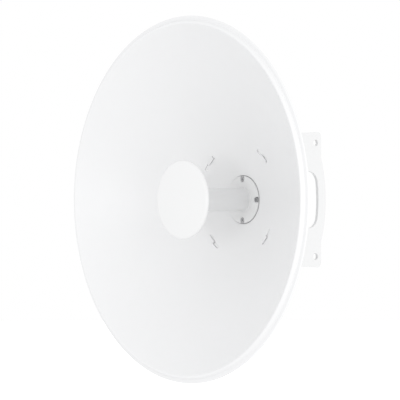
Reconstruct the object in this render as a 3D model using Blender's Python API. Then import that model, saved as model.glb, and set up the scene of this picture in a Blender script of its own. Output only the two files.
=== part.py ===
"""Parabolic dish antenna: reflector, feed with its sub-reflector, and a rear bracket. Metres, +Z up.

The dish looks along -Y. Pieces are drawn from the dish's vertex: x across, z up and depth forward along
the boresight, so that y is minus the depth. "Back" is the same distance measured rearwards. One empty
carries every piece and puts the world's origin on the outer face of the bracket's right cheek.
"""

import math

import bmesh
import bpy
from mathutils import Matrix, Vector

GAP = 0.0003
REFLECTOR_SIDES = 72
SIDES = 48
SMALL_SIDES = 16
HEXAGON = 6
CORNER_STEPS = 4
SHARP_ANGLE = 35
WELD = 1e-7

# Reflector: a spun sheet with a bead inside its rim, a flange outside the bead and a rolled edge.
RIM_RADIUS = 0.325
RIM_DEPTH = 0.1476
ROLL_RADIUS = 0.00175
ROLL_TURN = 225
ROLL_STEPS = 5
BEAD_RADIUS = 0.3127
BEAD_DEPTH = 0.1553
BEAD_ROUND = 0.003
BOWL_EDGE_ANGLE = 45
BEAD_OUTER_ANGLE = 60
GROOVE_ROUND = 0.0012
SHEET = 0.0022
SEAT_RADIUS = 0.0446
SEAT_DEPTH = 0.0
SEAT_WALL = 0.0003
HUB_HOLE_RADIUS = 0.026
BOWL_RINGS = 8

# Four lanced marks in the bowl: a raised tab, and beside it an open stretch that a bracket hook fills.
LANCE_INNER = 0.1000
LANCE_OUTER = 0.1060
LANCE_START = 40.5
LANCE_MIDDLE = 50.5
LANCE_END = 58.7
TAB_RISE = 0.0028
TAB_SHEET = 0.0019
TAB_ROOT = 2.5
TAB_RAMP = 2.0
ARC_STEP = 2.0

# Feed: a round flange and a tube in one casting, held by four screws.
FLANGE_RADIUS = 0.0433
FLANGE_FRONT = 0.0052
FLANGE_BACK = 0.0014
FLANGE_CHAMFER = 0.0004
TUBE_RADIUS = 0.0209
TUBE_BASE_RADIUS = 0.0213
TUBE_FILLET = 0.0016
TUBE_END = 0.112
SPIGOT_RADIUS = 0.0245
SPIGOT_BACK = -0.0205
GASKET_RADIUS = 0.0443
GASKET_LIP = 0.0038
GASKET_WEB = 0.0008

SCREW_CIRCLE = 0.0372
SCREW_HEAD_RADIUS = 0.0045
SCREW_HEAD_FRONT = 0.0049
SCREW_HEAD_BACK = 0.0026
SCREW_RADIUS = 0.0020
SCREW_END = -0.0150
SCREW_HOLE_RADIUS = 0.0024
SOCKET_RADIUS = 0.0020
SOCKET_FLOOR = 0.0034
RECESS_RADIUS = 0.0050
NUT_RADIUS = 0.0040
NUT_THICKNESS = 0.0032

# Sub-reflector: a plastic cone on the tube's end, a metal plate, and a round cover over its front.
CONE_END_RADIUS = 0.050
CONE_LENGTH = 0.0295
CONE_NECK = 0.0210
CONE_WAIST = 0.0330
CONE_HEAD_LENGTH = 0.0133
CONE_NECK_LENGTH = 0.0035
PLATE_RADIUS = 0.064
PLATE_THICKNESS = 0.0030
COVER_RADIUS = 0.0705
COVER_FRONT = 0.1498
COVER_THICKNESS = 0.0032
COVER_RIM_DEPTH = 0.0054
COVER_RIM_WIDTH = 0.0045
COVER_ROUND = 0.0035
COVER_BOSS_RADIUS = 0.0580
COVER_BOSS_BASE = 0.0600

# Rear bracket: a channel behind the hub plate and a thick cheek on each side of it.
HUB_PLATE_RADIUS = 0.058
HUB_PLATE_THICKNESS = 0.0030
WEB_SHEET = 0.0040
WEB_HOLE_RADIUS = 0.030
WEB_HALF_HEIGHT = 0.105
WEB_FLANGE_BACK = 0.042
WEB_BEND = 0.0080
CHEEK_OUTER = 0.0950
CHEEK_THICKNESS = 0.0066
CHEEK_ROUND = 0.0011
CHEEK_FRONT = -0.0020
CHEEK_REAR = 0.1030
CHEEK_HALF_HEIGHT = 0.1240
CHEEK_FLARE = 3.35
CHEEK_REAR_CORNER = 0.008
CHEEK_FRONT_CORNER = 0.014
BULGE_HALF_CHORD = 0.0775
BULGE_REAR = 0.1150
BULGE_STEPS = 8
STRIP_WIDTH = 0.0190
WINDOW_HALF_HEIGHT = 0.0515
WINDOW_FRONT = 0.0480
WINDOW_CORNER = 0.022
WINDOW_STEP = 12
POLE_HOLE_RADIUS = 0.0057
POLE_HOLE_BACK = 0.0890
POLE_HOLE_Z = 0.1033
BOLT_BACK = 0.0260
BOLT_Z = 0.0750
BOLT_RADIUS = 0.0040
BOLT_HOLE_RADIUS = 0.0045
BOLT_HEAD_RADIUS = 0.0075
BOLT_HEAD_THICKNESS = 0.0053
BOLT_END = 0.0100
BOLT_NUT_THICKNESS = 0.0065

# Hooks: upright plates on the channel whose tongues reach into the lanced marks.
HOOK_INNER = 0.1009
HOOK_OUTER = 0.1051
HOOK_START = 44.5
HOOK_END = 57.9
TONGUE_SUNK = 0.0012
TONGUE_DEEP = 0.0048

# Feed housing behind the bracket, its lid, lid screws and two radio connectors.
HOUSING_HALF = 0.031
HOUSING_LENGTH = 0.034
HOUSING_ROUND = 0.005
LID_THICKNESS = 0.0025
LID_INSET = 0.0012
LID_SCREW_AT = 0.025
LID_SCREW_RADIUS = 0.0028
LID_SCREW_THICKNESS = 0.0018
CONNECTOR_AT = 0.0125
CONNECTOR_BASE_RADIUS = 0.0062
CONNECTOR_BASE_THICKNESS = 0.0030
CONNECTOR_RADIUS = 0.0042
CONNECTOR_LENGTH = 0.0130

# The bowl meets the bead where the bead's round front turns to the bowl's edge angle.
BOWL_EDGE_RADIUS = BEAD_RADIUS - BEAD_ROUND * math.sin(math.radians(BOWL_EDGE_ANGLE))
BOWL_EDGE_DEPTH = BEAD_DEPTH - BEAD_ROUND * (1 - math.cos(math.radians(BOWL_EDGE_ANGLE)))
FOUR_FOCAL = BOWL_EDGE_RADIUS**2 / BOWL_EDGE_DEPTH
HUB_PLATE_FRONT = SEAT_DEPTH - SHEET - GAP
WEB_FRONT = HUB_PLATE_FRONT - HUB_PLATE_THICKNESS - GAP
WEB_BACK = WEB_FRONT - WEB_SHEET
CHEEK_INNER = CHEEK_OUTER - CHEEK_THICKNESS
WEB_HALF_WIDTH = CHEEK_INNER - GAP
MOUNT_BACK = BULGE_REAR - STRIP_WIDTH / 2
HOUSING_FRONT = SPIGOT_BACK - GAP
HOUSING_BACK = HOUSING_FRONT - HOUSING_LENGTH
LID_BACK = HOUSING_BACK - GAP - LID_THICKNESS


def bowl_depth(radius):
    """Depth of the bowl's front surface at a distance from the boresight."""
    return radius**2 / FOUR_FOCAL


def clear_scene():
    for old in list(bpy.data.objects):
        bpy.data.objects.remove(old, do_unlink=True)


def finish(name, colour, metallic, roughness):
    material = bpy.data.materials.new(name)
    material.use_nodes = True
    shader = material.node_tree.nodes["Principled BSDF"]
    shader.inputs["Base Color"].default_value = (*colour, 1)
    shader.inputs["Metallic"].default_value = metallic
    shader.inputs["Roughness"].default_value = roughness
    return material


def add_object(name, data, material, carrier):
    piece = bpy.data.objects.new(name, data)
    bpy.context.scene.collection.objects.link(piece)
    piece.parent = carrier
    data.materials.append(material)
    return piece


def mesh_object(name, shape, material, carrier):
    """Turns a bmesh into an object, shaded smooth except at its sharp edges."""
    bmesh.ops.recalc_face_normals(shape, faces=shape.faces)
    mesh = bpy.data.meshes.new(name)
    shape.to_mesh(mesh)
    shape.free()
    mesh.shade_smooth()
    mesh.set_sharp_from_angle(angle=math.radians(SHARP_ANGLE))
    return add_object(name, mesh, material, carrier)


def helper(piece):
    """A cutter or a shape that is joined into another piece, left out of the model."""
    piece.hide_render = True
    piece.display_type = "WIRE"
    return piece


def boolean(piece, other, operation):
    modifier = piece.modifiers.new(other.name, "BOOLEAN")
    modifier.object = other
    modifier.operation = operation
    modifier.solver = "EXACT"


def arc(middle, radius, start, end, steps):
    """Points on an arc, with angles in degrees from the second axis towards the first."""
    angles = (math.radians(start + (end - start) * step / steps) for step in range(steps + 1))
    return [(middle[0] + radius * math.sin(a), middle[1] + radius * math.cos(a)) for a in angles]


def offset_line(points, distance):
    """The line shifted to its right-hand side, with mitred corners."""
    shifted = []
    for index, point in enumerate(points):
        here = Vector(point)
        before = (here - Vector(points[index - 1])).normalized() if index else None
        after = (Vector(points[index + 1]) - here).normalized() if index + 1 < len(points) else None
        before = before or after
        after = after or before
        along = (before + after).normalized()
        side = Vector((along.y, -along.x))
        shifted.append(tuple(here + side * distance / along.dot(after)))
    return shifted


def spun(profile, sides):
    """A solid of revolution about the boresight, from an outline of (radius, depth) points."""
    shape = bmesh.new()
    points = [shape.verts.new((radius, -depth, 0)) for radius, depth in profile]
    pairs = list(zip(points, points[1:]))
    if profile[0][0] > 0:
        pairs.append((points[-1], points[0]))
    edges = [shape.edges.new(pair) for pair in pairs]
    turning = {"cent": (0, 0, 0), "axis": (0, 1, 0), "angle": math.tau}
    bmesh.ops.spin(shape, geom=points + edges, steps=sides, use_merge=True, **turning)
    bmesh.ops.remove_doubles(shape, verts=shape.verts, dist=WELD)
    return shape


def prism(outline, low, high, turn=Matrix.Identity(4)):
    """An outline of (x, y) points pulled along z from low to high, then turned."""
    shape = bmesh.new()
    face = shape.faces.new([shape.verts.new((x, y, low)) for x, y in outline])
    pulled = bmesh.ops.extrude_face_region(shape, geom=[face])
    moved = [item for item in pulled["geom"] if isinstance(item, bmesh.types.BMVert)]
    bmesh.ops.translate(shape, verts=moved, vec=(0, 0, high - low))
    bmesh.ops.transform(shape, matrix=turn, verts=shape.verts)
    return shape


def ring_points(radius, sides, middle=(0, 0)):
    angles = (math.tau * side / sides for side in range(sides))
    return [(middle[0] + radius * math.cos(a), middle[1] + radius * math.sin(a)) for a in angles]


def rounded(corners):
    """An outline whose corners are given as (x, y, radius), with each corner turned by an arc."""
    outline = []
    for index, (x, y, radius) in enumerate(corners):
        here = Vector((x, y))
        if not radius:
            outline.append((x, y))
            continue
        before = (Vector(corners[index - 1][:2]) - here).normalized()
        after = (Vector(corners[(index + 1) % len(corners)][:2]) - here).normalized()
        half = before.angle(after) / 2
        middle = here + (before + after).normalized() * radius / math.sin(half)
        first = here + before * radius / math.tan(half) - middle
        last = here + after * radius / math.tan(half) - middle
        sweep = first.angle_signed(last)
        for step in range(CORNER_STEPS + 1):
            spoke = first.copy()
            spoke.rotate(Matrix.Rotation(-sweep * step / CORNER_STEPS, 2))
            outline.append(tuple(middle + spoke))
    return outline


def joined(shapes):
    """Puts several shapes into one bmesh."""
    whole = bmesh.new()
    for shape in shapes:
        part = bpy.data.meshes.new("joined")
        bmesh.ops.recalc_face_normals(shape, faces=shape.faces)
        shape.to_mesh(part)
        shape.free()
        whole.from_mesh(part)
        bpy.data.meshes.remove(part)
    return whole


def post(radius, sides, front, back, across=0.0, up=0.0):
    """A round or many-sided post along the boresight."""
    turn = Matrix.Translation((across, 0, up)) @ Matrix.Rotation(math.radians(90), 4, "X")
    return prism(ring_points(radius, sides), back, front, turn)


def screw_places():
    """Places (x, z) of the four flange screws: right, top, left and bottom."""
    return ring_points(SCREW_CIRCLE, 4)


def reflector_outline():
    """The sheet's section: its front from the centre hole to the rolled edge, then its back."""
    bead_middle = (BEAD_RADIUS, BEAD_DEPTH - BEAD_ROUND)
    roll_middle = (RIM_RADIUS - ROLL_RADIUS, RIM_DEPTH)
    front = [(HUB_HOLE_RADIUS, SEAT_DEPTH), (SEAT_RADIUS, SEAT_DEPTH)]
    first = SEAT_RADIUS + SEAT_WALL
    for ring in range(BOWL_RINGS):
        radius = first + (BOWL_EDGE_RADIUS - first) * ring / BOWL_RINGS
        front.append((radius, bowl_depth(radius)))
    front += arc(bead_middle, BEAD_ROUND, -BOWL_EDGE_ANGLE, BEAD_OUTER_ANGLE, CORNER_STEPS)
    flange_depth = RIM_DEPTH + ROLL_RADIUS
    drop = front[-1][1] - flange_depth
    groove = front[-1][0] + drop / math.tan(math.radians(BEAD_OUTER_ANGLE))
    front += [(groove - GROOVE_ROUND / 2, flange_depth + GROOVE_ROUND), (groove + GROOVE_ROUND, flange_depth)]
    front.append((RIM_RADIUS - 2 * ROLL_RADIUS, flange_depth))
    back = offset_line(front, SHEET)
    roll = arc(roll_middle, ROLL_RADIUS, 0, ROLL_TURN, ROLL_STEPS)
    return front + roll + back[::-1]


def block_on_arc(inner, outer, outline):
    """A solid between two radii whose outline is a list of (angle, depth at a radius)."""
    shape = bmesh.new()
    rows = []
    for radius in (inner, outer):
        row = []
        for angle, depth in outline:
            turn = math.radians(angle)
            row.append(shape.verts.new((radius * math.cos(turn), -depth(radius), radius * math.sin(turn))))
        rows.append(row)
        shape.faces.new(row)
    count = len(outline)
    for index in range(count):
        nearby = (index + 1) % count
        shape.faces.new((rows[0][index], rows[0][nearby], rows[1][nearby], rows[1][index]))
    bmesh.ops.triangulate(shape, faces=shape.faces)
    return shape


def angles_between(start, end):
    steps = max(1, round(abs(end - start) / ARC_STEP))
    return [start + (end - start) * step / steps for step in range(steps + 1)]


def above_bowl(rise):
    return lambda radius: bowl_depth(radius) + rise


def at_depth(depth):
    return lambda radius: depth


def turned_about_boresight(shape, degrees):
    turn = Matrix.Rotation(math.radians(-degrees), 3, "Y")
    bmesh.ops.rotate(shape, verts=shape.verts, cent=(0, 0, 0), matrix=turn)
    return shape


def lance_cutter():
    margin = SHEET * 3
    angles = angles_between(LANCE_START, LANCE_END)
    outline = [(angle, above_bowl(margin)) for angle in angles]
    outline += [(angle, above_bowl(-margin)) for angle in reversed(angles)]
    return block_on_arc(LANCE_INNER, LANCE_OUTER, outline)


def lance_tab():
    """The raised half of a mark: a strip rooted in the sheet at one end and open at the other."""
    sunk = SHEET / 5
    level = LANCE_START + TAB_RAMP
    tops = [(LANCE_START - TAB_ROOT, above_bowl(-sunk)), (LANCE_START, above_bowl(-sunk))]
    tops += [(angle, above_bowl(TAB_RISE)) for angle in angles_between(level, LANCE_MIDDLE)]
    floors = [(angle, above_bowl(TAB_RISE - TAB_SHEET)) for angle in angles_between(LANCE_MIDDLE, level)]
    floors += [
        (LANCE_START + TAB_RAMP / 2, above_bowl(-SHEET + 2 * sunk)),
        (LANCE_START - TAB_ROOT, above_bowl(-SHEET + sunk)),
    ]
    return block_on_arc(LANCE_INNER + GAP, LANCE_OUTER - GAP, tops + floors)


def make_reflector(material, carrier):
    reflector = mesh_object("reflector", spun(reflector_outline(), REFLECTOR_SIDES), material, carrier)
    cuts = [turned_about_boresight(lance_cutter(), 90 * quarter) for quarter in range(4)]
    cuts += [post(SCREW_HOLE_RADIUS, SMALL_SIDES, SHEET, -3 * SHEET, x, z) for x, z in screw_places()]
    tabs = [turned_about_boresight(lance_tab(), 90 * quarter) for quarter in range(4)]
    boolean(reflector, helper(mesh_object("reflector_cuts", joined(cuts), material, carrier)), "DIFFERENCE")
    boolean(reflector, helper(mesh_object("lanced_tabs", joined(tabs), material, carrier)), "UNION")


def screw_holes(name, front, back, material, carrier):
    cuts = [post(SCREW_HOLE_RADIUS, SMALL_SIDES, front, back, x, z) for x, z in screw_places()]
    return helper(mesh_object(name, joined(cuts), material, carrier))


def screw_recess():
    """Cutter for the right screw's recess, which is round inwards and open at the flange's rim."""
    beyond = FLANGE_RADIUS + RECESS_RADIUS
    inner = [(x, z) for z, x in arc((0, SCREW_CIRCLE), RECESS_RADIUS, 90, 270, SMALL_SIDES // 2)]
    outline = [(beyond, RECESS_RADIUS), *inner, (beyond, -RECESS_RADIUS)]
    turn = Matrix.Rotation(math.radians(90), 4, "X")
    return prism(outline, SCREW_HEAD_BACK - GAP, FLANGE_FRONT + SHEET, turn)


def make_feed(white, rubber, plastic, metal, carrier):
    base = FLANGE_FRONT
    fillet_middle = (TUBE_BASE_RADIUS + TUBE_FILLET, base + TUBE_FILLET)
    casting = [
        (0, TUBE_END),
        (TUBE_RADIUS, TUBE_END),
        *reversed(arc(fillet_middle, TUBE_FILLET, 180, 270, CORNER_STEPS)),
        (FLANGE_RADIUS - FLANGE_CHAMFER, base),
        (FLANGE_RADIUS, base - FLANGE_CHAMFER),
        (FLANGE_RADIUS, FLANGE_BACK),
        (SPIGOT_RADIUS, FLANGE_BACK),
        (SPIGOT_RADIUS, SPIGOT_BACK),
        (0, SPIGOT_BACK),
    ]
    feed = mesh_object("feed_casting", spun(casting, SIDES), white, carrier)
    recesses = [turned_about_boresight(screw_recess(), 90 * quarter) for quarter in range(4)]
    boolean(feed, helper(mesh_object("screw_recesses", joined(recesses), white, carrier)), "DIFFERENCE")
    boolean(feed, screw_holes("casting_holes", base, FLANGE_BACK - SHEET, white, carrier), "DIFFERENCE")

    low = SEAT_DEPTH + GAP
    gasket_outline = [
        (HUB_HOLE_RADIUS, low),
        (GASKET_RADIUS, low),
        (GASKET_RADIUS, GASKET_LIP),
        (FLANGE_RADIUS + GAP, GASKET_LIP),
        (FLANGE_RADIUS + GAP, low + GASKET_WEB),
        (HUB_HOLE_RADIUS, low + GASKET_WEB),
    ]
    gasket = mesh_object("feed_gasket", spun(gasket_outline, SIDES), rubber, carrier)
    boolean(gasket, screw_holes("gasket_holes", GASKET_LIP, -SHEET, rubber, carrier), "DIFFERENCE")

    cone_front = TUBE_END + GAP
    cone_end = cone_front + CONE_LENGTH
    cone = [
        (0, cone_end),
        (CONE_END_RADIUS, cone_end),
        (CONE_END_RADIUS, cone_end - PLATE_THICKNESS),
        (CONE_WAIST, cone_end - CONE_HEAD_LENGTH),
        (CONE_NECK, cone_front + CONE_NECK_LENGTH),
        (CONE_NECK, cone_front),
        (0, cone_front),
    ]
    mesh_object("feed_cone", spun(cone, SIDES), plastic, carrier)
    plate_back = cone_end + GAP
    plate = [
        (0, plate_back + PLATE_THICKNESS),
        (PLATE_RADIUS, plate_back + PLATE_THICKNESS),
        (PLATE_RADIUS, plate_back),
        (0, plate_back),
    ]
    mesh_object("sub_reflector", spun(plate, SIDES), metal, carrier)
    cover_back = COVER_FRONT - COVER_THICKNESS
    rim_back = COVER_FRONT - COVER_RIM_DEPTH
    round_middle = (COVER_RADIUS - COVER_ROUND, COVER_FRONT - COVER_ROUND)
    cover = [
        (0, COVER_FRONT),
        *arc(round_middle, COVER_ROUND, 0, 90, CORNER_STEPS),
        (COVER_RADIUS, rim_back),
        (COVER_RADIUS - COVER_RIM_WIDTH, rim_back),
        (COVER_RADIUS - COVER_RIM_WIDTH, cover_back),
        (COVER_BOSS_BASE, cover_back),
        (COVER_BOSS_RADIUS, plate_back + PLATE_THICKNESS + GAP),
        (0, plate_back + PLATE_THICKNESS + GAP),
    ]
    mesh_object("sub_reflector_cover", spun(cover, SIDES), white, carrier)


def make_flange_screws(steel, carrier):
    places = ("right", "top", "left", "bottom")
    nut_front = WEB_BACK - GAP
    for place, (x, z) in zip(places, screw_places()):
        outline = [
            (0, SOCKET_FLOOR),
            (SOCKET_RADIUS, SOCKET_FLOOR),
            (SOCKET_RADIUS, SCREW_HEAD_FRONT),
            (SCREW_HEAD_RADIUS - GAP, SCREW_HEAD_FRONT),
            (SCREW_HEAD_RADIUS, SCREW_HEAD_FRONT - GAP),
            (SCREW_HEAD_RADIUS, SCREW_HEAD_BACK),
            (SCREW_RADIUS, SCREW_HEAD_BACK),
            (SCREW_RADIUS, SCREW_END),
            (0, SCREW_END),
        ]
        screw = mesh_object(f"flange_screw_{place}", spun(outline, SMALL_SIDES), steel, carrier)
        screw.location = (x, 0, z)
        shape = hexagon_nut(NUT_RADIUS, SCREW_RADIUS + GAP, nut_front, nut_front - NUT_THICKNESS)
        nut = mesh_object(f"flange_nut_{place}", shape, steel, carrier)
        nut.location = (x, 0, z)


def hexagon_nut(radius, bore, front, back):
    """A six-sided nut with a round bore, along the boresight."""
    sides = 2 * HEXAGON
    reaches = (radius, radius * math.cos(math.pi / HEXAGON))
    corners = [Vector(point) * reaches[index % 2] for index, point in enumerate(ring_points(1, sides))]
    shape = bmesh.new()
    rings = []
    for outline, depth in ((corners, front), (corners, back), (ring_points(bore, sides), back)):
        rings.append([shape.verts.new((x, -depth, z)) for x, z in outline])
    rings.append([shape.verts.new((x, -front, z)) for x, z in ring_points(bore, sides)])
    for ring, after in zip(rings, rings[1:] + rings[:1]):
        for index in range(sides):
            nearby = (index + 1) % sides
            shape.faces.new((ring[index], ring[nearby], after[nearby], after[index]))
    return shape


def make_bracket(painted, metal, steel, carrier):
    plate_back = HUB_PLATE_FRONT - HUB_PLATE_THICKNESS
    plate = [
        (HUB_HOLE_RADIUS, HUB_PLATE_FRONT),
        (HUB_PLATE_RADIUS, HUB_PLATE_FRONT),
        (HUB_PLATE_RADIUS, plate_back),
        (HUB_HOLE_RADIUS, plate_back),
    ]
    hub = mesh_object("hub_plate", spun(plate, SIDES), metal, carrier)
    boolean(hub, screw_holes("hub_holes", SHEET, WEB_BACK, metal, carrier), "DIFFERENCE")

    front = -WEB_FRONT
    inside = WEB_HALF_WIDTH - WEB_SHEET
    section = rounded(
        [
            (-WEB_HALF_WIDTH, WEB_FLANGE_BACK, 0),
            (-WEB_HALF_WIDTH, front, WEB_BEND),
            (WEB_HALF_WIDTH, front, WEB_BEND),
            (WEB_HALF_WIDTH, WEB_FLANGE_BACK, 0),
            (inside, WEB_FLANGE_BACK, 0),
            (inside, front + WEB_SHEET, WEB_BEND - WEB_SHEET),
            (-inside, front + WEB_SHEET, WEB_BEND - WEB_SHEET),
            (-inside, WEB_FLANGE_BACK, 0),
        ]
    )
    folded = prism(section, -WEB_HALF_HEIGHT, WEB_HALF_HEIGHT)
    channel = mesh_object("bracket_channel", folded, painted, carrier)
    across = Matrix.Rotation(math.radians(90), 4, "Y")
    behind = -WEB_FLANGE_BACK
    cuts = [post(WEB_HOLE_RADIUS, SIDES // 2, 0, behind)]
    cuts += [post(SCREW_HOLE_RADIUS, SMALL_SIDES, 0, behind, x, z) for x, z in screw_places()]
    for z in (BOLT_Z, -BOLT_Z):
        drill = prism(ring_points(BOLT_HOLE_RADIUS, SMALL_SIDES), -2 * CHEEK_OUTER, 2 * CHEEK_OUTER, across)
        bmesh.ops.translate(drill, verts=drill.verts, vec=(0, BOLT_BACK, z))
        cuts.append(drill)
    boolean(channel, helper(mesh_object("channel_holes", joined(cuts), painted, carrier)), "DIFFERENCE")

    for side, name in ((1, "right"), (-1, "left")):
        make_cheek(f"{name}_cheek", side, painted, carrier)
        for z, level in ((BOLT_Z, "upper"), (-BOLT_Z, "lower")):
            make_cheek_bolt(f"{level}_{name}_cheek", side, z, steel, carrier)

    corners = ("upper_right", "upper_left", "lower_left", "lower_right")
    for quarter, corner in enumerate(corners):
        shape = turned_about_boresight(hook_shape(), 90 * quarter)
        mesh_object(f"hook_{corner}", shape, painted, carrier)


def cheek_outlines():
    """The cheek's outside and its openings, as (back, z) points."""
    rise = (CHEEK_REAR - CHEEK_FRONT) * math.tan(math.radians(CHEEK_FLARE))
    front_half = CHEEK_HALF_HEIGHT - rise
    bulge = BULGE_REAR - CHEEK_REAR
    radius = (BULGE_HALF_CHORD**2 + bulge**2) / (2 * bulge)
    middle = BULGE_REAR - radius
    reach = math.degrees(math.asin(BULGE_HALF_CHORD / radius))
    rear = [(back, z, 0) for z, back in arc((0, middle), radius, -reach, reach, BULGE_STEPS)]
    outside = rounded(
        [
            (CHEEK_FRONT, -front_half, CHEEK_FRONT_CORNER),
            (CHEEK_REAR, -CHEEK_HALF_HEIGHT, CHEEK_REAR_CORNER),
            *rear,
            (CHEEK_REAR, CHEEK_HALF_HEIGHT, CHEEK_REAR_CORNER),
            (CHEEK_FRONT, front_half, CHEEK_FRONT_CORNER),
        ]
    )
    inner = radius - STRIP_WIDTH
    swing = math.degrees(math.asin((WINDOW_HALF_HEIGHT - WINDOW_CORNER) / (inner - WINDOW_CORNER)))
    corner_back = middle + (inner - WINDOW_CORNER) * math.cos(math.radians(swing))
    corner_z = WINDOW_HALF_HEIGHT - WINDOW_CORNER
    corner_front = WINDOW_FRONT + WINDOW_CORNER
    turns = [
        ((0, middle), inner, -swing, swing),
        ((corner_z, corner_back), WINDOW_CORNER, swing + WINDOW_STEP, 90),
        ((corner_z, corner_front), WINDOW_CORNER, 90, 180),
        ((-corner_z, corner_front), WINDOW_CORNER, 180, 270),
        ((-corner_z, corner_back), WINDOW_CORNER, 270, 360 - swing - WINDOW_STEP),
    ]
    window = [(back, z) for turn in turns for z, back in arc(*turn, CORNER_STEPS)]
    holes = []
    for side in (1, -1):
        holes.append(ring_points(POLE_HOLE_RADIUS, SMALL_SIDES, (POLE_HOLE_BACK, side * POLE_HOLE_Z)))
        holes.append(ring_points(BOLT_HOLE_RADIUS, SMALL_SIDES, (BOLT_BACK, side * BOLT_Z)))
    return [outside, window, *holes]


def make_cheek(name, side, material, carrier):
    curve = bpy.data.curves.new(name, "CURVE")
    curve.dimensions = "2D"
    curve.fill_mode = "BOTH"
    curve.extrude = CHEEK_THICKNESS / 2 - CHEEK_ROUND
    curve.bevel_depth = CHEEK_ROUND
    curve.bevel_resolution = 0
    curve.offset = -CHEEK_ROUND
    for outline in cheek_outlines():
        spline = curve.splines.new("POLY")
        spline.points.add(len(outline) - 1)
        for point, (back, z) in zip(spline.points, outline):
            point.co = (back, z, 0, 1)
        spline.use_cyclic_u = True
    cheek = add_object(name, curve, material, carrier)
    cheek.rotation_euler = (math.pi / 2, 0, math.pi / 2)
    cheek.location = (side * (CHEEK_OUTER - CHEEK_THICKNESS / 2), 0, 0)


def make_cheek_bolt(name, side, z, steel, carrier):
    """A hexagon bolt through cheek and channel, drawn along x, with its nut inside."""
    turn = Matrix.Rotation(math.radians(90 * side), 4, "Y")
    head_inner = CHEEK_OUTER + GAP
    head = prism(ring_points(BOLT_HEAD_RADIUS, HEXAGON), head_inner, head_inner + BOLT_HEAD_THICKNESS, turn)
    tip = WEB_HALF_WIDTH - WEB_SHEET - BOLT_END
    shank = prism(ring_points(BOLT_RADIUS, SMALL_SIDES), tip, head_inner + BOLT_HEAD_THICKNESS / 2, turn)
    bolt = mesh_object(f"{name}_bolt", head, steel, carrier)
    boolean(bolt, helper(mesh_object(f"{name}_shank", shank, steel, carrier)), "UNION")
    nut_outer = WEB_HALF_WIDTH - WEB_SHEET - GAP
    shape = hexagon_nut(BOLT_HEAD_RADIUS, BOLT_RADIUS + GAP, nut_outer, nut_outer - BOLT_NUT_THICKNESS)
    bmesh.ops.transform(shape, matrix=Matrix.Rotation(math.radians(90 * side), 4, "Z"), verts=shape.verts)
    nut = mesh_object(f"{name}_nut", shape, steel, carrier)
    for piece in (bolt, nut, bpy.data.objects[f"{name}_shank"]):
        piece.location = (0, BOLT_BACK, z)


def hook_shape():
    """An upright plate on the channel's face, with a tongue that turns sideways into a lanced mark."""
    neck = LANCE_MIDDLE
    top = [(angle, above_bowl(-TONGUE_SUNK)) for angle in angles_between(HOOK_START, HOOK_END)]
    under = [(angle, above_bowl(-TONGUE_DEEP)) for angle in angles_between(HOOK_END, neck)]
    foot = [(angle, at_depth(WEB_FRONT + GAP)) for angle in angles_between(neck, HOOK_START)]
    return block_on_arc(HOOK_INNER, HOOK_OUTER, top + under + foot)


def make_housing(white, steel, brass, carrier):
    def square(half, corner):
        return rounded([(x * half, z * half, corner) for x, z in ((-1, -1), (1, -1), (1, 1), (-1, 1))])

    upright = Matrix.Rotation(math.radians(90), 4, "X")
    body = prism(square(HOUSING_HALF, HOUSING_ROUND), HOUSING_BACK, HOUSING_FRONT, upright)
    mesh_object("feed_housing", body, white, carrier)
    lid = prism(square(HOUSING_HALF - LID_INSET, HOUSING_ROUND), LID_BACK, HOUSING_BACK - GAP, upright)
    mesh_object("housing_lid", lid, white, carrier)
    seat = LID_BACK - GAP
    for up, level in ((1, "upper"), (-1, "lower")):
        for side, name in ((1, "right"), (-1, "left")):
            x = side * LID_SCREW_AT
            head = post(LID_SCREW_RADIUS, SMALL_SIDES, seat, seat - LID_SCREW_THICKNESS, x, up * LID_SCREW_AT)
            mesh_object(f"lid_screw_{level}_{name}", head, steel, carrier)
    for side, name in ((1, "right"), (-1, "left")):
        x = side * CONNECTOR_AT
        inside_base = seat - CONNECTOR_BASE_THICKNESS / 2
        base = post(CONNECTOR_BASE_RADIUS, HEXAGON, seat, seat - CONNECTOR_BASE_THICKNESS, x)
        barrel = post(CONNECTOR_RADIUS, SMALL_SIDES, inside_base, seat - CONNECTOR_LENGTH, x)
        connector = mesh_object(f"radio_connector_{name}", base, brass, carrier)
        boolean(connector, helper(mesh_object(f"connector_barrel_{name}", barrel, brass, carrier)), "UNION")


def main():
    clear_scene()
    white_paint = finish("white_paint", (0.84, 0.85, 0.86), 0.0, 0.45)
    white_plastic = finish("white_plastic", (0.86, 0.86, 0.86), 0.0, 0.40)
    black_rubber = finish("black_rubber", (0.04, 0.04, 0.045), 0.0, 0.75)
    cream_plastic = finish("cream_plastic", (0.80, 0.79, 0.74), 0.0, 0.50)
    aluminium = finish("aluminium", (0.70, 0.71, 0.72), 1.0, 0.38)
    stainless = finish("stainless", (0.42, 0.42, 0.43), 1.0, 0.35)
    brass = finish("brass", (0.78, 0.60, 0.28), 1.0, 0.30)

    carrier = bpy.data.objects.new("antenna", None)
    bpy.context.scene.collection.objects.link(carrier)
    carrier.location = (-CHEEK_OUTER, -MOUNT_BACK, 0)

    make_reflector(white_paint, carrier)
    make_feed(white_plastic, black_rubber, cream_plastic, aluminium, carrier)
    make_flange_screws(stainless, carrier)
    make_bracket(white_paint, aluminium, stainless, carrier)
    make_housing(white_plastic, stainless, brass, carrier)


main()
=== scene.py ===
"""Parabolic dish antenna: the fine pieces, their finishes and a plain studio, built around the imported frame.

Measures are in metres. Most pieces are drawn in the dish's own measures: across and up from the boresight,
and depth forward of the dish's vertex, which is negative behind it. A frame node gives the place and size of
the piece that stands for it.
"""

import math

import bmesh
import bpy
from bpy.props import FloatProperty, FloatVectorProperty, IntProperty, PointerProperty
from mathutils import Matrix, Vector


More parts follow.
